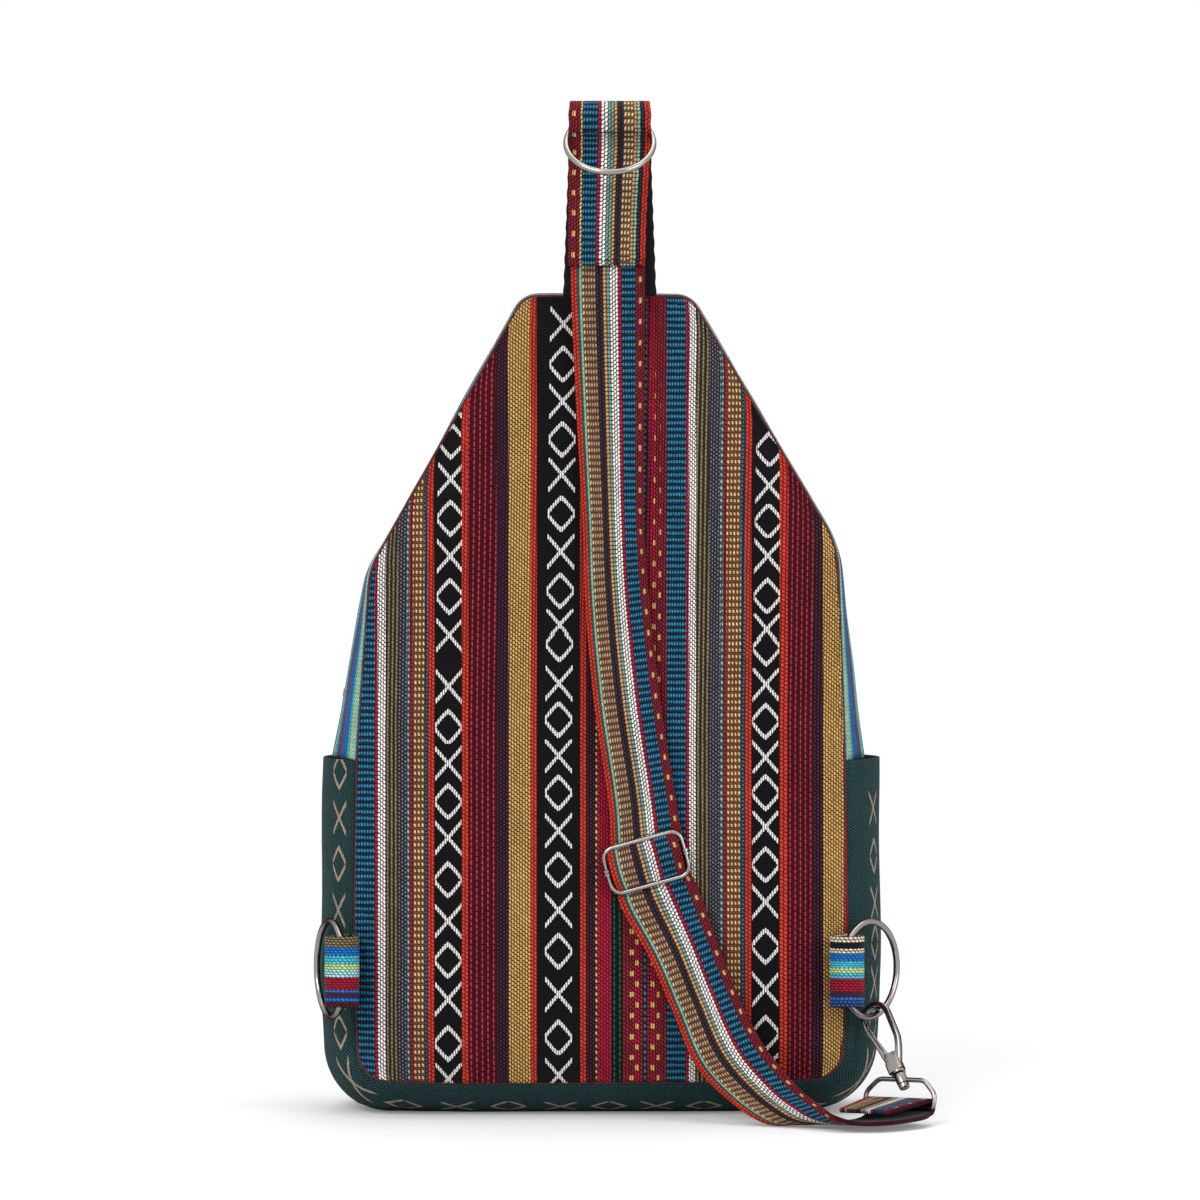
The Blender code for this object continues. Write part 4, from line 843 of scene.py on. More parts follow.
def swept(name, path, section, closed=False, up=None, look=None, sizes=None):
    """A closed skin of a section moved along a path; up keeps it from turning."""
    path = [Vector(p) for p in path]
    count = len(path)
    work = bmesh.new()
    rings, side = [], None
    for i, point in enumerate(path):
        after = path[(i + 1) % count] if closed else path[min(i + 1, count - 1)]
        before = path[(i - 1) % count] if closed else path[max(i - 1, 0)]
        along = (after - before).normalized()
        if up is not None:
            side = along.cross(Vector(up)).normalized()
        elif side is None:
            side = along.orthogonal().normalized()
        else:
            side = (side - along * side.dot(along)).normalized()
        other = side.cross(along)
        size = sizes[i] if sizes else 1.0
        rings.append([
            work.verts.new(point + side * a * size + other * b * size) for a, b in section
        ])
    pairs = list(zip(rings, rings[1:]))
    if closed:
        start = rings[0]
        shift = min(
            range(len(section)),
            key=lambda k: sum(
                (rings[-1][j].co - start[(j + k) % len(start)].co).length
                for j in (0, 1)
            ),
        )
        pairs.append((rings[-1], start[shift:] + start[:shift]))
    for low, high in pairs:
        for j in range(len(section)):
            k = (j + 1) % len(section)
            work.faces.new((low[j], low[k], high[k], high[j]))
    if not closed:
        work.faces.new(rings[0][::-1])
        work.faces.new(rings[-1])
    bmesh.ops.recalc_face_normals(work, faces=work.faces)
    mesh = bpy.data.meshes.new(name)
    work.to_mesh(mesh)
    work.free()
    mesh.shade_smooth()
    mesh.set_sharp_from_angle(angle=math.radians(50))
    made = linked(name, mesh)
    if look:
        mesh.materials.append(look)
    return made


def round_section(radius, sides):
    """A circle of points."""
    return [
        (radius * math.cos(2 * math.pi * i / sides), radius * math.sin(2 * math.pi * i / sides))
        for i in range(sides)
    ]


def flat_section(width, depth, radius):
    """A rounded rectangle."""
    half_w, half_d = width / 2, depth / 2
    corners = rounded(
        [(-half_w, -half_d), (half_w, -half_d), (half_w, half_d), (-half_w, half_d)],
        [radius] * 4, 1.0, closed=True,
    )
    return [(p.x, p.y) for p in corners[::3]]


def merged(name, pieces, look=None):
    """Several objects as one."""
    work = bmesh.new()
    for piece in pieces:
        work.from_mesh(piece.data)
        bpy.data.objects.remove(piece)
    mesh = bpy.data.meshes.new(name)
    work.to_mesh(mesh)
    work.free()
    if look:
        mesh.materials.append(look)
    mesh.set_sharp_from_angle(angle=math.radians(50))
    return linked(name, mesh)


def lathe(name, start, axis, profile, sides=28):
    """A turned piece: profile holds (distance along the axis, radius)."""
    axis = Vector(axis).normalized()
    side = axis.orthogonal().normalized()
    other = axis.cross(side)
    work = bmesh.new()
    rings = []
    for along, radius in profile:
        rings.append([
            work.verts.new(
                Vector(start) + axis * along
                + (side * math.cos(t) + other * math.sin(t)) * radius
            )
            for t in (2 * math.pi * i / sides for i in range(sides))
        ])
    for low, high in zip(rings, rings[1:]):
        for i in range(sides):
            j = (i + 1) % sides
            work.faces.new((low[i], low[j], high[j], high[i]))
    work.faces.new(rings[0][::-1])
    work.faces.new(rings[-1])
    bmesh.ops.recalc_face_normals(work, faces=work.faces)
    mesh = bpy.data.meshes.new(name)
    work.to_mesh(mesh)
    work.free()
    mesh.shade_smooth()
    mesh.set_sharp_from_angle(angle=math.radians(40))
    return linked(name, mesh)


def repeat_tree():
    """Geometry nodes that set one small rounded form on each point of a mesh."""
    tree = bpy.data.node_groups.get("repeat_along")
    if tree:
        return tree
    tree = bpy.data.node_groups.new("repeat_along", "GeometryNodeTree")
    face = tree.interface
    face.new_socket("Points", in_out="INPUT", socket_type="NodeSocketGeometry")
    face.new_socket("Size", in_out="INPUT", socket_type="NodeSocketVector")
    face.new_socket("Uneven", in_out="INPUT", socket_type="NodeSocketFloat")
    face.new_socket("Seed", in_out="INPUT", socket_type="NodeSocketInt")
    face.new_socket("Material", in_out="INPUT", socket_type="NodeSocketMaterial")
    face.new_socket("Geometry", in_out="OUTPUT", socket_type="NodeSocketGeometry")
    given = put(tree, "NodeGroupInput", out=None)
    ball = put(tree, "GeometryNodeMeshUVSphere", (8, 6, 0.5))
    ball = put(
        tree, "GeometryNodeTransform", {"Geometry": ball, "Scale": given.outputs["Size"]},
    )
    ball = put(tree, "GeometryNodeSetShadeSmooth", {"Geometry": ball})
    aim = put(
        tree, "GeometryNodeInputNamedAttribute", {"Name": "aim"}, data_type="FLOAT_VECTOR",
    )
    side = put(
        tree, "GeometryNodeInputNamedAttribute", {"Name": "side"}, data_type="FLOAT_VECTOR",
    )
    turned = put(tree, "FunctionNodeAlignRotationToVector", {"Vector": aim}, axis="X")
    turned = put(
        tree, "FunctionNodeAlignRotationToVector", {"Rotation": turned, "Vector": side},
        axis="Y", pivot_axis="X",
    )
    low = put(tree, MATH, (1.0, given.outputs["Uneven"]), operation="SUBTRACT")
    high = put(tree, MATH, (1.0, given.outputs["Uneven"]), operation="ADD")
    scale = put(
        tree, "FunctionNodeRandomValue",
        {2: low, 3: high, "Seed": given.outputs["Seed"]}, out=1, data_type="FLOAT",
    )
    placed = put(tree, "GeometryNodeInstanceOnPoints", {
        "Points": given.outputs["Points"], "Instance": ball, "Rotation": turned, "Scale": scale,
    })
    whole = put(tree, "GeometryNodeRealizeInstances", {"Geometry": placed})
    dyed = put(
        tree, "GeometryNodeSetMaterial",
        {"Geometry": whole, "Material": given.outputs["Material"]},
    )
    put(tree, "NodeGroupOutput", (dyed,), out=None)
    return tree


def repeated(name, points, aims, sides, size, look, uneven=0.08, seed=3):
    """Small rounded forms, such as stitches or zip coils, on points with two ways each."""
    mesh = bpy.data.meshes.new(name)
    mesh.from_pydata([tuple(p) for p in points], [], [])
    for key, ways in (("aim", aims), ("side", sides)):
        layer = mesh.attributes.new(key, "FLOAT_VECTOR", "POINT")
        layer.data.foreach_set("vector", [c for way in ways for c in way])
    made = linked(name, mesh)
    step = made.modifiers.new("repeat", "NODES")
    tree = repeat_tree()
    step.node_group = tree
    values = {"Size": size, "Uneven": uneven, "Seed": seed, "Material": look}
    for item in tree.interface.items_tree:
        if item.in_out == "INPUT" and item.name in values:
            step[item.identifier] = values[item.name]
    made = plain(made)
    made.data.shade_smooth()
    return made


def stitches(name, line, out, spacing, look, length=None, body="bag", slot_name="strap_cloth"):
    """A row of machine stitches on a line of points that lie on the cloth."""
    length = length or bpy.context.scene.sling_bag.stitch_length
    line = [Vector(p) for p in line]
    at, points, aims, sides = spacing / 2, [], [], []
    run = 0.0
    for a, b in zip(line, line[1:]):
        piece = (b - a).length
        while at <= run + piece and piece > 0:
            points.append(a.lerp(b, (at - run) / piece))
            aims.append((b - a).normalized())
            sides.append(Vector(out).cross(b - a).normalized())
            at += spacing
        run += piece
    made = repeated(name, points, aims, sides, (length, 0.0006, 0.0005), look)
    return bodied(made, body, slot_name)


def catmull(points, step):
    """A smooth line through points, each a tuple of Vectors that move together."""
    padded = [points[0], *points, points[-1]]
    done = [points[0]]
    for a, b, c, d in zip(padded, padded[1:], padded[2:], padded[3:]):
        length = max((q - p).length for p, q in zip(b, c))
        steps = max(1, round(length / step))
        for k in range(1, steps + 1):
            s = k / steps
            done.append(tuple(
                0.5 * (2 * q + (r - p) * s + (2 * p - 5 * q + 4 * r - t) * s**2
                       + (3 * q - p - 3 * r + t) * s**3)
                for p, q, r, t in zip(a, b, c, d)
            ))
    return done


def teardrop(radius, pinch_half, pinch_drop, steps):
    """Round a roll from one pinched leg to the other, in 2D about the roll's axis."""
    far = math.hypot(pinch_half, pinch_drop)
    start = math.atan2(pinch_half, pinch_drop) + math.acos(radius / far)
    angles = [start + (2 * math.pi - 2 * start) * i / steps for i in range(steps + 1)]
    return [Vector((math.sin(a), -math.cos(a))) * radius for a in angles]


def run_lengths(points):
    """Length along a line of points, from its start."""
    done = [0.0]
    for a, b in zip(points, points[1:]):
        done.append(done[-1] + (b - a).length)
    return done


# ---------------------------------------------------------------- pieces


def sheet_rows(columns, low, high, step):
    """Across and up of a sheet's points: level rows, cut off at each column's ends."""
    levels = np.arange(low.min(), high.max() + step, step)
    z = np.clip(levels[:, None], low[None], high[None])
    return np.repeat(columns[None], len(levels), 0), z


def make_back_panel(settings):
    """The padded panel: stripes run up it, and it puckers beside its seams."""
    outline = Outline(0.0002)
    step = settings.mesh_step
    borders, owners = stripe_table(BACK_CLOTH, step)
    # Fine columns at both sides, where the outline turns upright
    fine = (0.0002, 0.0005, 0.0009)
    borders = [0.0, *fine, *borders[1:-1], *(borders[-1] - d for d in fine[::-1]), borders[-1]]
    owners = [owners[0]] * 3 + owners + [owners[-1]] * 3
    left = outline.left + 0.0002
    width = outline.right - 0.0002 - left
    scale = width / borders[-1]
    columns = left + np.array(borders) * scale
    low, high = outline.heights(columns)
    x, z = sheet_rows(columns, low, high, step)
    near = outline.distance(x, z)
    y = SEAM_Y - BACK_CROWN * outline.plateau(x, z)
    fade = np.clip(near / 0.02, 0, 1)
    y = y + rough_cloth(x, z, 1.7) * fade
    run = x * 0.8 + z
    pull = np.clip(1 - near / PUCKER_REACH, 0, 1) * np.clip(near / 0.003, 0, 1)
    y = y - settings.puckers * pull * np.sin(run * 2 * math.pi / PUCKER_PITCH)
    u = (x - columns[0]) / scale - lean(z) + lean(0.17)
    mesh = cloth_mesh("back_panel_cloth", np.stack([x, y, z], -1), u, z, BACK_CLOTH, owners)
    made = walled("back_panel_cloth", mesh, PANEL_WALL)
    bodied(made, "bag", "back_cloth", "back_panel")


def front_surface(outline, x, z, pocket=False):
    """How far back (+Y) the front lies at a place, with the pocket's fullness."""
    depth = np.interp(z, [HIP_Z, TOP_Z], [FULL_DEPTH, TOP_DEPTH])
    y = SEAM_Y + depth + FRONT_CROWN * outline.plateau(x, z)
    if pocket:
        y = y + POCKET_FULLNESS * outline.plateau(x, z) * np.sin(np.pi * z / POCKET_ZIP_Z)
    return y


def make_front(settings):
    """The front panel over the pocket's zip, and the green pocket below it."""
    outline = Outline(0.0010)
    step = settings.mesh_step * 1.3
    for name, node, cloth, low_z, high_z, slot_name, pocket in (
        (
            "front_panel_cloth", "front_panel", BRIGHT_CLOTH * 5, POCKET_ZIP_Z + 0.004, 1.0,
            "front_cloth", False,
        ),
        (
            "front_pocket_cloth", "front_pocket", GREEN_CLOTH * 10, 0.0, POCKET_ZIP_Z - 0.004,
            "gusset_cloth", True,
        ),
    ):
        borders, owners = stripe_table(cloth, step)
        left, right = outline.left, outline.right
        if not pocket:
            left, right = (float(v) for v in outline.span(low_z))
        left, right = left + 0.0003, right - 0.0003
        columns = np.array(borders)
        keep = int(np.searchsorted(columns, right - left))
        columns = np.minimum(columns[: keep + 1], right - left) + left
        owners = owners[:keep]
        low, high = outline.heights(columns)
        low, high = np.maximum(low, low_z), np.minimum(high, high_z)
        x, z = sheet_rows(columns, low, high, step)
        near = outline.distance(x, z)
        y = front_surface(outline, x, z, pocket)
        y = y + rough_cloth(x, z, 9.3) * np.clip(near / 0.02, 0, 1)
        mesh = cloth_mesh(name, np.stack([x, y, z], -1), x - left, z, cloth, owners, flip=True)
        bodied(walled(name, mesh, CLOTH_WALL), "bag", slot_name, node)
    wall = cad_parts["pocket_back_wall"]
    wall.data.materials.clear()
    wall.data.materials.append(lining())


def gusset_cloth(name, node, outline_points, places, lower, cloth, slot_name, settings):
    """One wall of the gusset between two places of its depth."""
    borders, owners = stripe_table(cloth, settings.mesh_step * 1.4)
    borders = np.array(borders) / borders[-1]
    normals = outward(outline_points)
    run = run_lengths(outline_points)
    grid, us, vs = [], [], []
    for point, normal, at in zip(outline_points, normals, run):
        start, end = (place(point) for place in places)
        line = []
        for share in borders:
            place = start + (end - start) * share
            spot = gusset_point(point, normal, place, lower)
            wave = noise.noise(Vector((at * 30, place * 3, 4.4 if lower else 8.1))) * 0.0007
            wave *= min(1.0, 8 * place, 8 * (1 - place)) if spot.z > 0.004 else 0
            line.append(spot + Vector((normal.x, 0, normal.y)) * wave)
        grid.append(line)
        shift = interpolate(GREEN_SHIFT, point.x) if lower else 0.0
        us.append(borders * sum(stripe[0] for stripe in cloth) / 1000 + shift)
        vs.append([at] * len(borders))
    mesh = cloth_mesh(name, grid, us, vs, cloth, owners)
    bodied(walled(name, mesh, CLOTH_WALL), "bag", slot_name, node)


def make_gussets(settings):
    """The green wall round the base, and the bright walls on both sides of the zip."""
    step = settings.mesh_step * 1.4
    green = GREEN_CLOTH * 3
    gusset_cloth(
        "lower_gusset_cloth", "lower_gusset", lower_outline(step),
        (lambda p: 0.008, lambda p: 0.992), True, green, "gusset_cloth", settings,
    )
    gusset_cloth(
        "upper_gusset_back_cloth", "upper_gusset_back", upper_outline(step),
        (lambda p: 0.010, lambda p: ZIP_PLACE - ZIP_HALF_GAP / depth_at(p.y)), False,
        BRIGHT_CLOTH * 2, "front_cloth", settings,
    )
    gusset_cloth(
        "upper_gusset_front_cloth", "upper_gusset_front", upper_outline(step),
        (lambda p: ZIP_PLACE + ZIP_HALF_GAP / depth_at(p.y), lambda p: 0.990), False,
        BRIGHT_CLOTH[:4], "front_cloth", settings,
    )


def make_piping():
    """A thin cord of cloth in the back seam and in the front seam."""
    loop = seam_loop(0.0022)
    # Folded cotton round a cord: matt, dark, only a fine line along the seam
    look = plain_cloth("twisted_cotton_piping", "#5C2C2D", 1100.0)
    for name, place in (("back_piping", 0), ("front_piping", 1)):
        path, sizes = [], []
        for i, p in enumerate(loop):
            sunk = PIPING_SUNK * (1 - 2 * place)
            path.append(Vector((p.x, SEAM_Y + place * depth_at(p.y) + sunk, p.y)))
            sizes.append(1 + PIPING_SWELL * math.sin(i * 2.4))
        made = swept(
            f"{name}_cord", path, round_section(PIPING_RADIUS, 10), closed=True, look=look,
            sizes=sizes,
        )
        bodied(made, "bag", "piping_cloth", name)


def zip_coil(name, path, acrosses, outs, look):
    """Two rows of coil loops, one on each side of the zip's middle."""
    points, aims, sides = [], [], []
    at, run = 0.0, 0.0
    turn = 0
    for i in range(len(path) - 1):
        a, b = path[i], path[i + 1]
        length = (b - a).length
        while at <= run + length:
            share = (at - run) / length
            across = acrosses[i].lerp(acrosses[i + 1], share).normalized()
            turn = 1 - turn
            aside = COIL_HALF if turn else -COIL_HALF
            points.append(a.lerp(b, share) + across * aside + outs[i] * COIL_HALF)
            aims.append(across)
            sides.append((b - a).normalized())
            at += COIL_PITCH / 2
        run += length
    made = repeated(name, points, aims, sides, COIL_LOOP, look, uneven=0.02)
    return bodied(made, "bag", "zip_tape")


def tape_cloth(node, grid, look):
    """One zip's tape, in the place of its solid."""
    name = f"{node}_cloth"
    mesh = simple_grid(name, grid, look)
    bodied(walled(name, mesh, TAPE_WALL, lined=False), "bag", "zip_tape", node)


def make_zips():
    """Tapes and coils of both zips. Their sliders and pulls stay as solids."""
    # Tape: close weave, matt and nearly black. Coil: moulded nylon, half glossy
    tape = plain_cloth("woven_polyester_zip_tape", "#14201F", 1800.0)
    nylon = plain_cloth("nylon_zip_coil", "#1E2C2B", 800.0, 0.5)
    points = upper_outline(0.003)
    normals = outward(points)
    grid, centre, acrosses, outs = [], [], [], []
    for p, n in zip(points, normals):
        line = [
            gusset_point(
                p, n, ZIP_PLACE + TAPE_HALF_WIDTH * s / depth_at(p.y), False, TAPE_SUNK,
            )
            for s in np.linspace(-1, 1, 9)
        ]
        grid.append(line)
        centre.append(line[4])
        acrosses.append((line[5] - line[3]).normalized())
        outs.append(Vector((n.x, 0, n.y)))
    tape_cloth("main_zip_tape", grid, tape)
    zip_coil("main_zip_coil", centre, acrosses, outs, nylon)
    outline = Outline(0.0023)
    left, right = (float(v) for v in outline.span(POCKET_ZIP_Z))
    xs = np.linspace(left + 0.0006, right - 0.0006, 80)
    grid = []
    for x in xs:
        line = []
        for s in np.linspace(-1, 1, 9):
            z = POCKET_ZIP_Z - TAPE_HALF_WIDTH * s
            y = float(front_surface(outline, np.array(x), np.array(z))) - TAPE_SUNK
            line.append(Vector((x, y, z)))
        grid.append(line)
    tape_cloth("pocket_zip_tape", grid, tape)
    centre = [line[4] for line in grid]
    zip_coil(
        "pocket_zip_coil", centre, [Vector((0, 0, 1))] * len(centre),
        [Vector((0, 1, 0))] * len(centre), nylon,
    )
    for node in ("main_zip_slider", "main_zip_pull", "pocket_zip_slider", "pocket_zip_pull"):
        polished(node, 0.00025)


def polished(node, edge):
    """A solid that stays, with broken edges and the nickel finish, whose dark colour is painted
    shade.
    """
    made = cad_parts[node]
    made.data.materials.clear()
    made.data.materials.append(brushed_nickel())
    weld = made.modifiers.new("weld", "WELD")
    weld.merge_threshold = 1e-6
    bevel = made.modifiers.new("edges", "BEVEL")
    bevel.width = edge
    bevel.segments = 2
    bevel.limit_method = "ANGLE"
    bevel.angle_limit = math.radians(40)


def simple_grid(name, grid, look):
    """A grid of points as a mesh in one material."""
    rows, columns = len(grid), len(grid[0])
    index = np.arange(rows * columns).reshape(rows, columns)
    quads = np.stack([index[:-1, :-1], index[1:, :-1], index[1:, 1:], index[:-1, 1:]], -1)
    mesh = bpy.data.meshes.new(name)
    mesh.from_pydata(
        [tuple(p) for line in grid for p in line], [], quads.reshape(-1, 4).tolist(),
    )
    mesh.materials.append(look)
    mesh.shade_smooth()
    return mesh


def make_anchor_loop(settings):
    """The strap's loop: up from the seam, round the roll and down over the lap."""
    pinch_z = LOOP_ROLL_Z - LOOP_PINCH_DROP
    foot_z = TOP_Z + 0.0006
    lap_y = STRAP_Y - STRAP_WALL - 0.0002
    roll = Vector((LOOP_ROLL_Y, LOOP_ROLL_Z))
    round_roll = [
        roll + p
        for p in teardrop(LOOP_ROLL_RADIUS, LOOP_PINCH_HALF, LOOP_PINCH_DROP, 16)
    ]
    back = [
        Vector((LOOP_BACK_Y, foot_z)), Vector((LOOP_BACK_Y - 0.0003, foot_z + 0.012)),
        Vector((LOOP_ROLL_Y + 0.0032, (foot_z + pinch_z) / 2)),
        Vector((LOOP_ROLL_Y + LOOP_PINCH_HALF, pinch_z)),
    ]
    front = [
        Vector((LOOP_ROLL_Y - LOOP_PINCH_HALF, pinch_z)),
        Vector((LOOP_ROLL_Y - 0.0046, (STRAP_TOP_Z + pinch_z) / 2)),
        Vector((lap_y, STRAP_TOP_Z + 0.002)), Vector((lap_y, LAP_Z)),
    ]
    corners = [(p,) for p in back + round_roll + front]
    profile = [p[0] for p in catmull(corners, settings.mesh_step)]
    borders, owners = stripe_table(LOOP_CLOTH, settings.mesh_step)
    borders = np.array(borders)
    run = run_lengths(profile)
    shares = borders / borders[-1] * 2 - 1
    grid, us, vs = [], [], []
    past_roll = False
    for point, at in zip(profile, run):
        past_roll = past_roll or point.y > LOOP_ROLL_Z
        rise = min(1.0, max(0.0, (point.y - foot_z) / (pinch_z - foot_z)))
        middle, half = LOOP_CENTRE_X, LOOP_FOOT_HALF_WIDTH
        if past_roll:
            middle, half = FRONT_LEG_X, FRONT_LEG_HALF_WIDTH
        share = rise if point.y < pinch_z or past_roll else 1.0
        share = share**2 if past_roll else share
        middle += (LOOP_CENTRE_X - middle) * share
        half += (ROLL_HALF_WIDTH - half) * share
        half *= 1 - 0.05 * max(0.0, (point.y - LOOP_ROLL_Z) / LOOP_ROLL_RADIUS) ** 4
        edge = 1 + 0.010 * math.sin(at * 900)
        grid.append([Vector((middle + half * s * edge, point.x, point.y)) for s in shares])
        us.append(borders)
        vs.append([at] * len(borders))
    mesh = cloth_mesh("anchor_loop_webbing", grid, us, vs, LOOP_CLOTH, owners, flip=True)
    made = walled("anchor_loop_webbing", mesh, STRAP_WALL)
    bodied(made, "bag", "strap_cloth", "strap_anchor_loop")
    # Polyester thread: black, which also paints the shade in the dent of each stitch, so that
    # only the dent shows
    thread = plain_cloth("black_thread_dent_shade", "#0E0E12", 2500.0)
    x0, x1 = LOOP_CENTRE_X - LOOP_HALF_WIDTH + 0.001, LOOP_CENTRE_X + LOOP_HALF_WIDTH - 0.001
    for name, y, z in (
        ("roll_stitches", LOOP_ROLL_Y - LOOP_ROLL_RADIUS - 0.0002, 0.4228),
        ("lap_stitches", lap_y - STRAP_WALL / 2, LAP_Z + 0.0022),
    ):
        stitches(name, [(x0, y, z), (x1, y, z)], (0, -1, 0), 0.0030, thread)


def strap_stations():
    """Both edges of the strap at each station, from its top down."""
    return [(Vector(a), Vector(b)) for a, b in STRAP_EDGES]


def fold_axes():
    """Edges of the fold's axis at the strap's end, the way on and the way up."""
    left, right = strap_stations()[-1]
    across = (right - left).normalized()
    onward = Vector((0, 0, 1)).cross(across).normalized()
    lift = across.cross(onward)
    lift = lift if lift.z > 0 else -lift
    return left + lift * FOLD_RADIUS, right + lift * FOLD_RADIUS, onward, lift


def strap_piece(name, rows, settings, start=0.0, wall=STRAP_WALL):
    """Webbing between two lines of edge points."""
    borders, owners = stripe_table(STRAP_CLOTH, settings.mesh_step)
    borders = np.array(borders)
    shares = borders / borders[-1]
    middles = [(a + b) / 2 for a, b in rows]
    run = run_lengths(middles)
    grid, us, vs = [], [], []
    for (a, b), at in zip(rows, run):
        grid.append([a.lerp(b, s) for s in shares])
        us.append(borders)
        vs.append([start + at] * len(borders))
    mesh = cloth_mesh(name, grid, us, vs, STRAP_CLOTH, owners, flip=True)
    return walled(name, mesh, wall)


def make_strap(settings):
    """The hanging strap, folded through the eye, with its free tail."""
    rows = catmull(strap_stations(), settings.mesh_step * 1.3)
    left, right, onward, lift = fold_axes()
    fold = []
    for step in range(1, 13):
        angle = math.pi * step / 12
        swing = (onward * math.sin(angle) - lift * math.cos(angle)) * FOLD_RADIUS
        fold.append((left + swing, right + swing))
    last = fold[-1]
    tail = [last] + [
        tuple(last[s].lerp(TAIL_END[s], share) for s in (0, 1)) for share in (0.35, 0.7, 1.0)
    ]
    rows += fold + catmull(tail, settings.mesh_step * 1.3)[1:]
    made = strap_piece("shoulder_strap_webbing", rows, settings)
    bodied(made, "bag", "strap_cloth", "shoulder_strap")


def adjuster_axes():
    """Way across, way up and middle of the adjuster."""
    across = Vector((math.cos(ADJUSTER_TILT), 0, math.sin(ADJUSTER_TILT)))
    up = Vector((-math.sin(ADJUSTER_TILT), 0, math.cos(ADJUSTER_TILT)))
    return across, up, ADJUSTER_CENTRE


def make_adjuster(settings):
    """The wire frame, its sliding bar with two collars, and the strap through it."""
    across, up, centre = adjuster_axes()
    out = Vector((0, -1, 0))
    half_w, half_h = ADJUSTER_WIDTH / 2, ADJUSTER_HEIGHT / 2
    corners = [(-half_w, -half_h), (half_w, -half_h), (half_w, half_h), (-half_w, half_h)]
    ring = rounded(corners, [ADJUSTER_CORNER] * 4, 0.003, closed=True)
    path = [centre + across * p.x + up * p.y for p in ring]
    section = round_section(ADJUSTER_WIRE, settings.wire_sides)
    wire = swept("adjuster_wire", path, section, closed=True, look=brushed_nickel())
    bodied(wire, "adjuster", "nickel", "adjuster_frame")
    bar = swept(
        "bar", [centre - across * (half_w - 0.0012), centre + across * (half_w - 0.0012)],
        section,
    )
    collars = []
    for side in (-1, 1):
        middle = centre + across * half_w * side
        collars.append(lathe(f"collar_{side}", middle, up, [
            (-0.0013, 0.0014), (-0.0012, 0.0020), (-0.0004, 0.0020), (-0.0002, 0.0016),
            (0.0002, 0.0016), (0.0004, 0.0020), (0.0012, 0.0020), (0.0013, 0.0014),
        ]))
    made = merged("adjuster_slide_bar", [bar, *collars], brushed_nickel())
    bodied(made, "adjuster_bar", "nickel", "adjuster_bar")
    behind = ADJUSTER_WIRE + STRAP_WALL / 2 + 0.0003
    rows = []
    for k in range(25):
        t = -1 + 2 * k / 24
        rise = math.cos(t * math.pi / 2) ** 0.8
        middle = centre - up * half_h * t * 1.06
        half = 0.0146 + 0.0012 * rise
        shift = out * (behind * (2.1 * rise - 1.0) + 0.0004)
        rows.append((middle - across * half + shift, middle + across * half + shift))
    made = strap_piece(
        "adjuster_webbing", rows, settings, start=ADJUSTER_RUN, wall=ADJUSTER_WALL,
    )
    bodied(made, "adjuster", "strap_cloth")


def make_tabs(settings):
    """Two short bands of cloth, each sewn round a ring."""
    for name, x in TAB_X.items():
        side = 1 if x > 0 else -1
        roll = Vector((x, TAB_ROLL_Y))
        root = Vector((TAB_ROOT_X * side, TAB_ROOT_Y + 0.002))
        away = (roll - root).normalized()
        across = Vector((-away.y, away.x))
        flat = teardrop(TAB_ROLL_RADIUS, TAB_PINCH_HALF, TAB_ROLL_RADIUS + 0.0034, 26)
        profile = [root + across * TAB_PINCH_HALF]
        profile += [roll + across * p.x + away * p.y for p in flat]
        profile += [root - across * TAB_PINCH_HALF]
        profile = divided(profile, 0.0015)
        cloth = TAB_CLOTH if side > 0 else LEFT_TAB_CLOTH
        borders, owners = stripe_table(cloth, settings.mesh_step * 0.7)
        borders = np.array(borders)
        width, top = borders[-1], TAB_Z + TAB_HEIGHT / 2
        run = run_lengths(profile)
        grid, us, vs = [], [], []
        for p, at in zip(profile, run):
            bow = 0.0010 * math.cos((at / run[-1] - 0.5) * 2 * math.pi)
            grid.append([
                Vector((p.x, p.y, top - TAB_HEIGHT * b / width + bow * b / width))
                for b in borders
            ])
            us.append(borders)
            vs.append([at] * len(borders))
        mesh = cloth_mesh(f"{name}_cloth", grid, us, vs, cloth, owners)
        bodied(walled(f"{name}_cloth", mesh, TAB_WALL, lined=False), "bag", "tab_cloth", name)


def sagitta(radius, half_chord):
    """Half the height of a ring's arc over its chord in the roll."""
    return (radius - math.sqrt(radius**2 - half_chord**2)) / 2


def ring_frame(name):
    """Centre of a ring, its way out from the roll and the second way in its plane."""
    radius = RING_SIZES[name][0]
    if name == "top_ring":
        tilt = TOP_RING_TILT
        away, second = Vector((0, -math.sin(tilt), -math.cos(tilt))), Vector((1, 0, 0))
        axis, half = Vector((LOOP_CENTRE_X, LOOP_ROLL_Y, LOOP_ROLL_Z)), LOOP_HALF_WIDTH
    else:
        turn = RING_TURNS[name]
        away, second = Vector((math.cos(turn), math.sin(turn), 0)), Vector((0, 0, 1))
        axis = Vector((TAB_X[name.replace("ring", "tab")], TAB_ROLL_Y, TAB_Z))
        half = TAB_HEIGHT / 2
    return axis + away * (radius - sagitta(radius, half)), away, second


def make_rings(settings):
    """Three round rings of plated wire."""
    for name, (radius, wire) in RING_SIZES.items():
        centre, away, second = ring_frame(name)
        path = [
            centre + (away * math.cos(t) + second * math.sin(t)) * radius
            for t in (2 * math.pi * i / 96 for i in range(96))
        ]
        section = round_section(wire, settings.wire_sides)
        made = swept(f"{name}_wire", path, section, closed=True, look=brushed_nickel())
        bodied(made, name, "nickel", name)


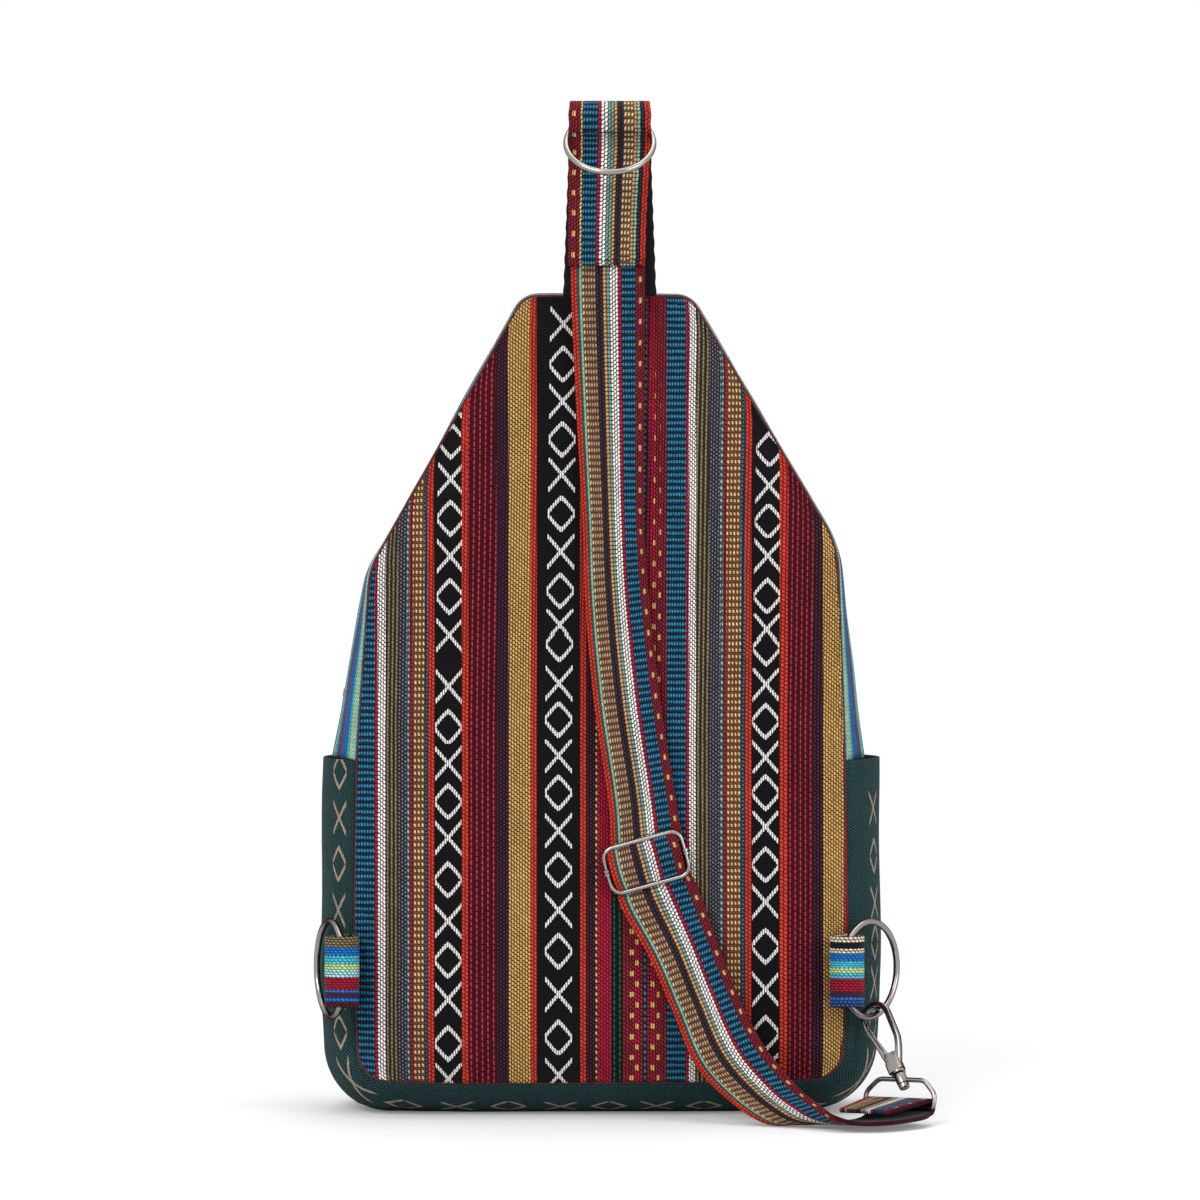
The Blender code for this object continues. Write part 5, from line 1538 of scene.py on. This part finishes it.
def eye_shape():
    """Middle line of the D-shaped eye, and its top."""
    left, right, _, _ = fold_axes()
    middle = (left + right) / 2
    across = (right - left).normalized()
    half = (right - left).length / 2 + EYE_WIRE + 0.0003
    rise = EYE_TOP - middle
    rise = rise - across * rise.dot(across)
    height = rise.length
    shoulder, crown = height * EYE_SHOULDER, half * EYE_CROWN
    corners = [
        (-half, 0), (half, 0), (half, shoulder), (crown, height), (-crown, height),
        (-half, shoulder),
    ]
    flat = rounded(
        corners, [0.0016, 0.0016, 0.0050, 0.0050, 0.0050, 0.0050], 0.002, closed=True,
    )
    up = rise.normalized()
    return [middle + across * p.x + up * p.y for p in flat], middle + rise


def hook_frame():
    """Frame of the snap hook: X across its arms, Z along its shank, and its reach."""
    _, top = eye_shape()
    centre, away, _ = ring_frame("right_ring")
    radius = RING_SIZES["right_ring"][0]
    down = Vector((0, 0, 1)) * math.sin(HOOK_PLACE)
    held = centre + (away * math.cos(HOOK_PLACE) - down) * radius
    along = (held - top).normalized()
    flat = (Vector((1, 0, 0)) - along * along.x).normalized()
    side = Matrix.Rotation(HOOK_TURN, 3, along) @ flat
    turned = Matrix((side, along.cross(side), along)).transposed().to_4x4()
    return Matrix.Translation(top) @ turned, (held - top).length


def make_hook(settings):
    """The eye with its swivel boss, the forged hook and its gate."""
    metal = brushed_nickel()
    points, _ = eye_shape()
    wire = swept("wire", points, round_section(EYE_WIRE, settings.wire_sides), closed=True)
    place, reach = hook_frame()
    axis = place.to_3x3() @ Vector((0, 0, 1))
    origin = place.translation
    boss = lathe("boss", origin, axis, [
        (-BOSS_HALF_HEIGHT, 0.0020), (-0.0022, 0.0025), (-0.0006, BOSS_RADIUS),
        (0.0006, BOSS_RADIUS), (0.0022, 0.0025), (BOSS_HALF_HEIGHT, 0.0020),
    ])
    made = merged("swivel_eye_wire", [wire, boss], metal)
    bodied(made, "swivel_eye", "nickel", "swivel_eye")

    ring_wire = RING_SIZES["right_ring"][1]
    height = reach + ring_wire + HOOK_ROOM + HOOK_BAR_WIDTH / 2 - HOOK_JAW_RADIUS
    up = place.to_3x3() @ Vector((0, 1, 0))

    def at(x, z, y=0.0):
        return place @ Vector((x, y, z))

    arm = [
        (0.0012, 0.0062), (0.0022, 0.0090), (0.0036, 0.0125), (0.0048, 0.0158),
        (0.0056, 0.0190), (0.0057, 0.0225), (0.0057, 0.0260), (0.0057, 0.0290),
    ]
    jaw = [
        (HOOK_JAW_RADIUS * math.cos(t), height + HOOK_JAW_RADIUS * math.sin(t))
        for t in (math.pi * i / 24 for i in range(25))
    ]
    tip = [(-0.0057, height - 0.0018), (-0.0057, height - 0.0034)]
    path = [at(*p) for p in arm + jaw + tip]
    sizes = [1.0] * (len(arm) + 12) + [1.0 - 0.012 * i for i in range(13)] + [0.84, 0.78]
    body = swept(
        "body", path, flat_section(HOOK_BAR_WIDTH, HOOK_BAR_DEPTH, 0.0007), up=up,
        sizes=sizes[: len(path)],
    )
    low = BOSS_HALF_HEIGHT + 0.0003
    block = swept(
        "block", [
            at(-0.0004, low + 0.0016), at(-0.0005, low + 0.0052), at(0.0002, low + 0.0104),
        ],
        flat_section(0.0070, 0.0048, 0.0010), up=up, sizes=[1.0, 1.0, 0.86],
    )
    collar = lathe("collar", at(0, low), axis, [
        (0.0, 0.0022), (0.0003, 0.0030), (0.0014, 0.0030), (0.0018, 0.0023), (0.0026, 0.0022),
    ])
    shank = lathe("shank", at(0, -0.0046), axis, [
        (0.0, 0.0014), (0.0004, 0.0022), (0.0019, 0.0024), (0.0020, 0.0012), (0.0076, 0.0012),
    ])
    body = merged("snap_hook_body", [body, block, collar, shank], metal)
    bodied(body, "snap_hook", "nickel", "hook_body")
    # A dark sheet in the hook's slot: painted shade of the hollow between the hook's halves
    hook_slot_shade = swept(
        "hook_slot_shade", [at(0.0002, 0.0072, 0.0027), at(0.0002, 0.0096, 0.0027)],
        flat_section(0.0016, 0.0008, 0.0002), up=up,
    )
    hook_slot_shade.data.materials.append(plain_cloth("painted_shade_hollow", "#080808", 900.0))
    bodied(hook_slot_shade, "snap_hook", "nickel")
    polished("gate_pin", 0.0001)

    low = Vector((GATE_PIVOT.x, GATE_PIVOT.z))
    high = Vector((-0.0055, height - 0.0041))
    run = [low.lerp(high, s) for s in (-0.08, 0.15, 0.4, 0.7, 0.9, 1.0)]
    lever = swept(
        "lever", [at(p.x, p.y) for p in run], flat_section(0.0023, 0.0021, 0.0005), up=up,
        sizes=[1.25, 1.35, 1.15, 1.0, 0.95, 0.8],
    )
    ribs = [
        swept(
            f"rib_{i}",
            [at(p.x, p.y) for p in (low.lerp(high, s - 0.02), low.lerp(high, s + 0.02))],
            flat_section(0.0027, 0.0026, 0.0005), up=up,
        )
        for i, s in enumerate((0.86, 0.94))
    ]
    gate = merged("snap_hook_gate", [lever, *ribs], metal)
    bodied(gate, "hook_gate", "nickel", "hook_gate")


def make_stage(settings):
    """Floor, lights, white world and the camera at the photograph's angle."""
    scene = bpy.context.scene
    scene.view_settings.view_transform = "Standard"
    camera = bpy.data.cameras.new("camera")
    camera.sensor_width = CAMERA_SENSOR
    camera.lens = CAMERA_LENS
    seen = linked("camera", camera)
    seen.location = CAMERA_PLACE
    seen.rotation_euler = (math.pi / 2, 0, 0)
    scene.camera = seen
    for name, place, size, power in (
        ("key_light", (-1.3, -2.3, 1.9), 1.6, 46.0),
        ("fill_light", (1.9, -1.9, 1.1), 1.6, 24.0),
        ("top_light", (0.2, 0.4, 2.4), 2.0, 26.0),
    ):
        lamp = bpy.data.lights.new(name, "AREA")
        lamp.size, lamp.energy = size, power
        made = linked(name, lamp)
        made.location = place
        aim = Vector((0, 0, 0.2)) - Vector(place)
        made.rotation_euler = aim.to_track_quat("-Z", "Y").to_euler()
    world = bpy.data.worlds.new("studio")
    scene.world = world
    world.use_nodes = True
    tree = world.node_tree
    tree.nodes.clear()
    path = put(tree, "ShaderNodeLightPath", out=None)
    seen_by = put(
        tree, MATH, (path.outputs["Is Camera Ray"], path.outputs["Is Glossy Ray"]),
        operation="MAXIMUM",
    )
    seen_by = put(
        tree, MATH, (seen_by, path.outputs["Is Transmission Ray"]), operation="MAXIMUM",
    )
    strength = put(tree, "ShaderNodeMapRange", (seen_by, 0.0, 1.0, 0.48, 1.0))
    sky = put(
        tree, "ShaderNodeBackground", {"Color": (1.0, 1.0, 1.0, 1.0), "Strength": strength},
    )
    put(tree, "ShaderNodeOutputWorld", (sky,), out=None)

    work = bmesh.new()
    bmesh.ops.create_circle(work, cap_ends=True, radius=1.6, segments=96)
    mesh = bpy.data.meshes.new("floor")
    work.to_mesh(mesh)
    work.free()
    floor = linked("floor", mesh)
    look, tree, surface = finish_named("matt_white_floor")
    surface.inputs["Base Color"].default_value = [*settings.floor, 1.0]
    surface.inputs["Roughness"].default_value = 0.9
    surface.inputs["Specular IOR Level"].default_value = 0.1
    where = put(tree, "ShaderNodeTexCoord", out=3)
    far = put(tree, VECTOR, (where,), operation="LENGTH", out=1)
    gone = put(
        tree, "ShaderNodeMapRange", (far, 0.35, 1.2, 0.0, 1.0), interpolation_type="SMOOTHSTEP",
    )
    path = put(tree, "ShaderNodeLightPath")
    lit = put(tree, MATH, (path, 0.16), operation="MULTIPLY")
    glow = put(tree, "ShaderNodeEmission", {"Strength": lit})
    both = put(tree, "ShaderNodeAddShader", (surface.outputs[0], glow))
    clear = put(tree, "ShaderNodeBsdfTransparent")
    shown = put(tree, "ShaderNodeMixShader", (gone, both, clear))
    tree.links.new(shown, tree.nodes["Material Output"].inputs[0])
    mesh.materials.append(look)


# ---------------------------------------------------------------- add-on


class SLINGBAG_OT_stage(bpy.types.Operator):
    """Make the floor, the lights and the camera"""

    bl_idname = "sling_bag.stage"
    bl_label = "Stage"

    def execute(self, context):
        make_stage(context.scene.sling_bag)
        return {"FINISHED"}


class SLINGBAG_OT_back_panel(bpy.types.Operator):
    """Make the padded striped back panel"""

    bl_idname = "sling_bag.back_panel"
    bl_label = "Back panel"

    def execute(self, context):
        make_back_panel(context.scene.sling_bag)
        return {"FINISHED"}


class SLINGBAG_OT_front(bpy.types.Operator):
    """Make the front panel and the pocket"""

    bl_idname = "sling_bag.front"
    bl_label = "Front"

    def execute(self, context):
        make_front(context.scene.sling_bag)
        return {"FINISHED"}


class SLINGBAG_OT_gussets(bpy.types.Operator):
    """Make the green lower gusset and the bright upper gusset"""

    bl_idname = "sling_bag.gussets"
    bl_label = "Gussets"

    def execute(self, context):
        make_gussets(context.scene.sling_bag)
        return {"FINISHED"}


class SLINGBAG_OT_piping(bpy.types.Operator):
    """Make the piping in both seams"""

    bl_idname = "sling_bag.piping"
    bl_label = "Piping"

    def execute(self, context):
        make_piping()
        return {"FINISHED"}


class SLINGBAG_OT_zips(bpy.types.Operator):
    """Make the zip tapes and coils, and finish the sliders and pulls"""

    bl_idname = "sling_bag.zips"
    bl_label = "Zips"

    def execute(self, context):
        make_zips()
        return {"FINISHED"}


class SLINGBAG_OT_anchor_loop(bpy.types.Operator):
    """Make the strap loop at the top with its stitches"""

    bl_idname = "sling_bag.anchor_loop"
    bl_label = "Anchor loop"

    def execute(self, context):
        make_anchor_loop(context.scene.sling_bag)
        return {"FINISHED"}


class SLINGBAG_OT_strap(bpy.types.Operator):
    """Make the hanging strap down to its folded end"""

    bl_idname = "sling_bag.strap"
    bl_label = "Shoulder strap"

    def execute(self, context):
        make_strap(context.scene.sling_bag)
        return {"FINISHED"}


class SLINGBAG_OT_adjuster(bpy.types.Operator):
    """Make the wire adjuster, its bar and the strap in it"""

    bl_idname = "sling_bag.adjuster"
    bl_label = "Adjuster"

    def execute(self, context):
        make_adjuster(context.scene.sling_bag)
        return {"FINISHED"}


class SLINGBAG_OT_tabs(bpy.types.Operator):
    """Make the cloth tabs that hold the side rings"""

    bl_idname = "sling_bag.tabs"
    bl_label = "Side tabs"

    def execute(self, context):
        make_tabs(context.scene.sling_bag)
        return {"FINISHED"}


class SLINGBAG_OT_rings(bpy.types.Operator):
    """Make the top ring and both side rings"""

    bl_idname = "sling_bag.rings"
    bl_label = "Rings"

    def execute(self, context):
        make_rings(context.scene.sling_bag)
        return {"FINISHED"}


class SLINGBAG_OT_hook(bpy.types.Operator):
    """Make the swivel eye, the snap hook and its gate"""

    bl_idname = "sling_bag.hook"
    bl_label = "Snap hook"

    def execute(self, context):
        make_hook(context.scene.sling_bag)
        return {"FINISHED"}


OPERATORS = [
    SLINGBAG_OT_stage,
    SLINGBAG_OT_back_panel,
    SLINGBAG_OT_front,
    SLINGBAG_OT_gussets,
    SLINGBAG_OT_piping,
    SLINGBAG_OT_zips,
    SLINGBAG_OT_anchor_loop,
    SLINGBAG_OT_strap,
    SLINGBAG_OT_adjuster,
    SLINGBAG_OT_tabs,
    SLINGBAG_OT_rings,
    SLINGBAG_OT_hook,
]


class SLINGBAG_PT_pieces(bpy.types.Panel):
    """Lists the pieces of the bag"""

    bl_label = "Sling bag"
    bl_idname = "SLINGBAG_PT_pieces"
    bl_space_type = "VIEW_3D"
    bl_region_type = "UI"
    bl_category = "Sling bag"

    def draw(self, context):
        settings = context.scene.sling_bag
        for key in settings.__annotations__:
            self.layout.prop(settings, key)
        for kind in OPERATORS:
            self.layout.operator(kind.bl_idname)


CLASSES = [SlingBagSettings, *OPERATORS, SLINGBAG_PT_pieces]


def register():
    """Registers the classes and hangs the settings on the scene."""
    for kind in CLASSES:
        bpy.utils.register_class(kind)
    bpy.types.Scene.sling_bag = PointerProperty(type=SlingBagSettings)


def unregister():
    """Takes back what register did."""
    del bpy.types.Scene.sling_bag
    for kind in reversed(CLASSES):
        bpy.utils.unregister_class(kind)


def main():
    """Makes all pieces in order."""
    register()
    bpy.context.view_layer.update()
    for kind in OPERATORS:
        group, key = kind.bl_idname.split(".")
        getattr(getattr(bpy.ops, group), key)()


if __name__ == "__main__":
    main()
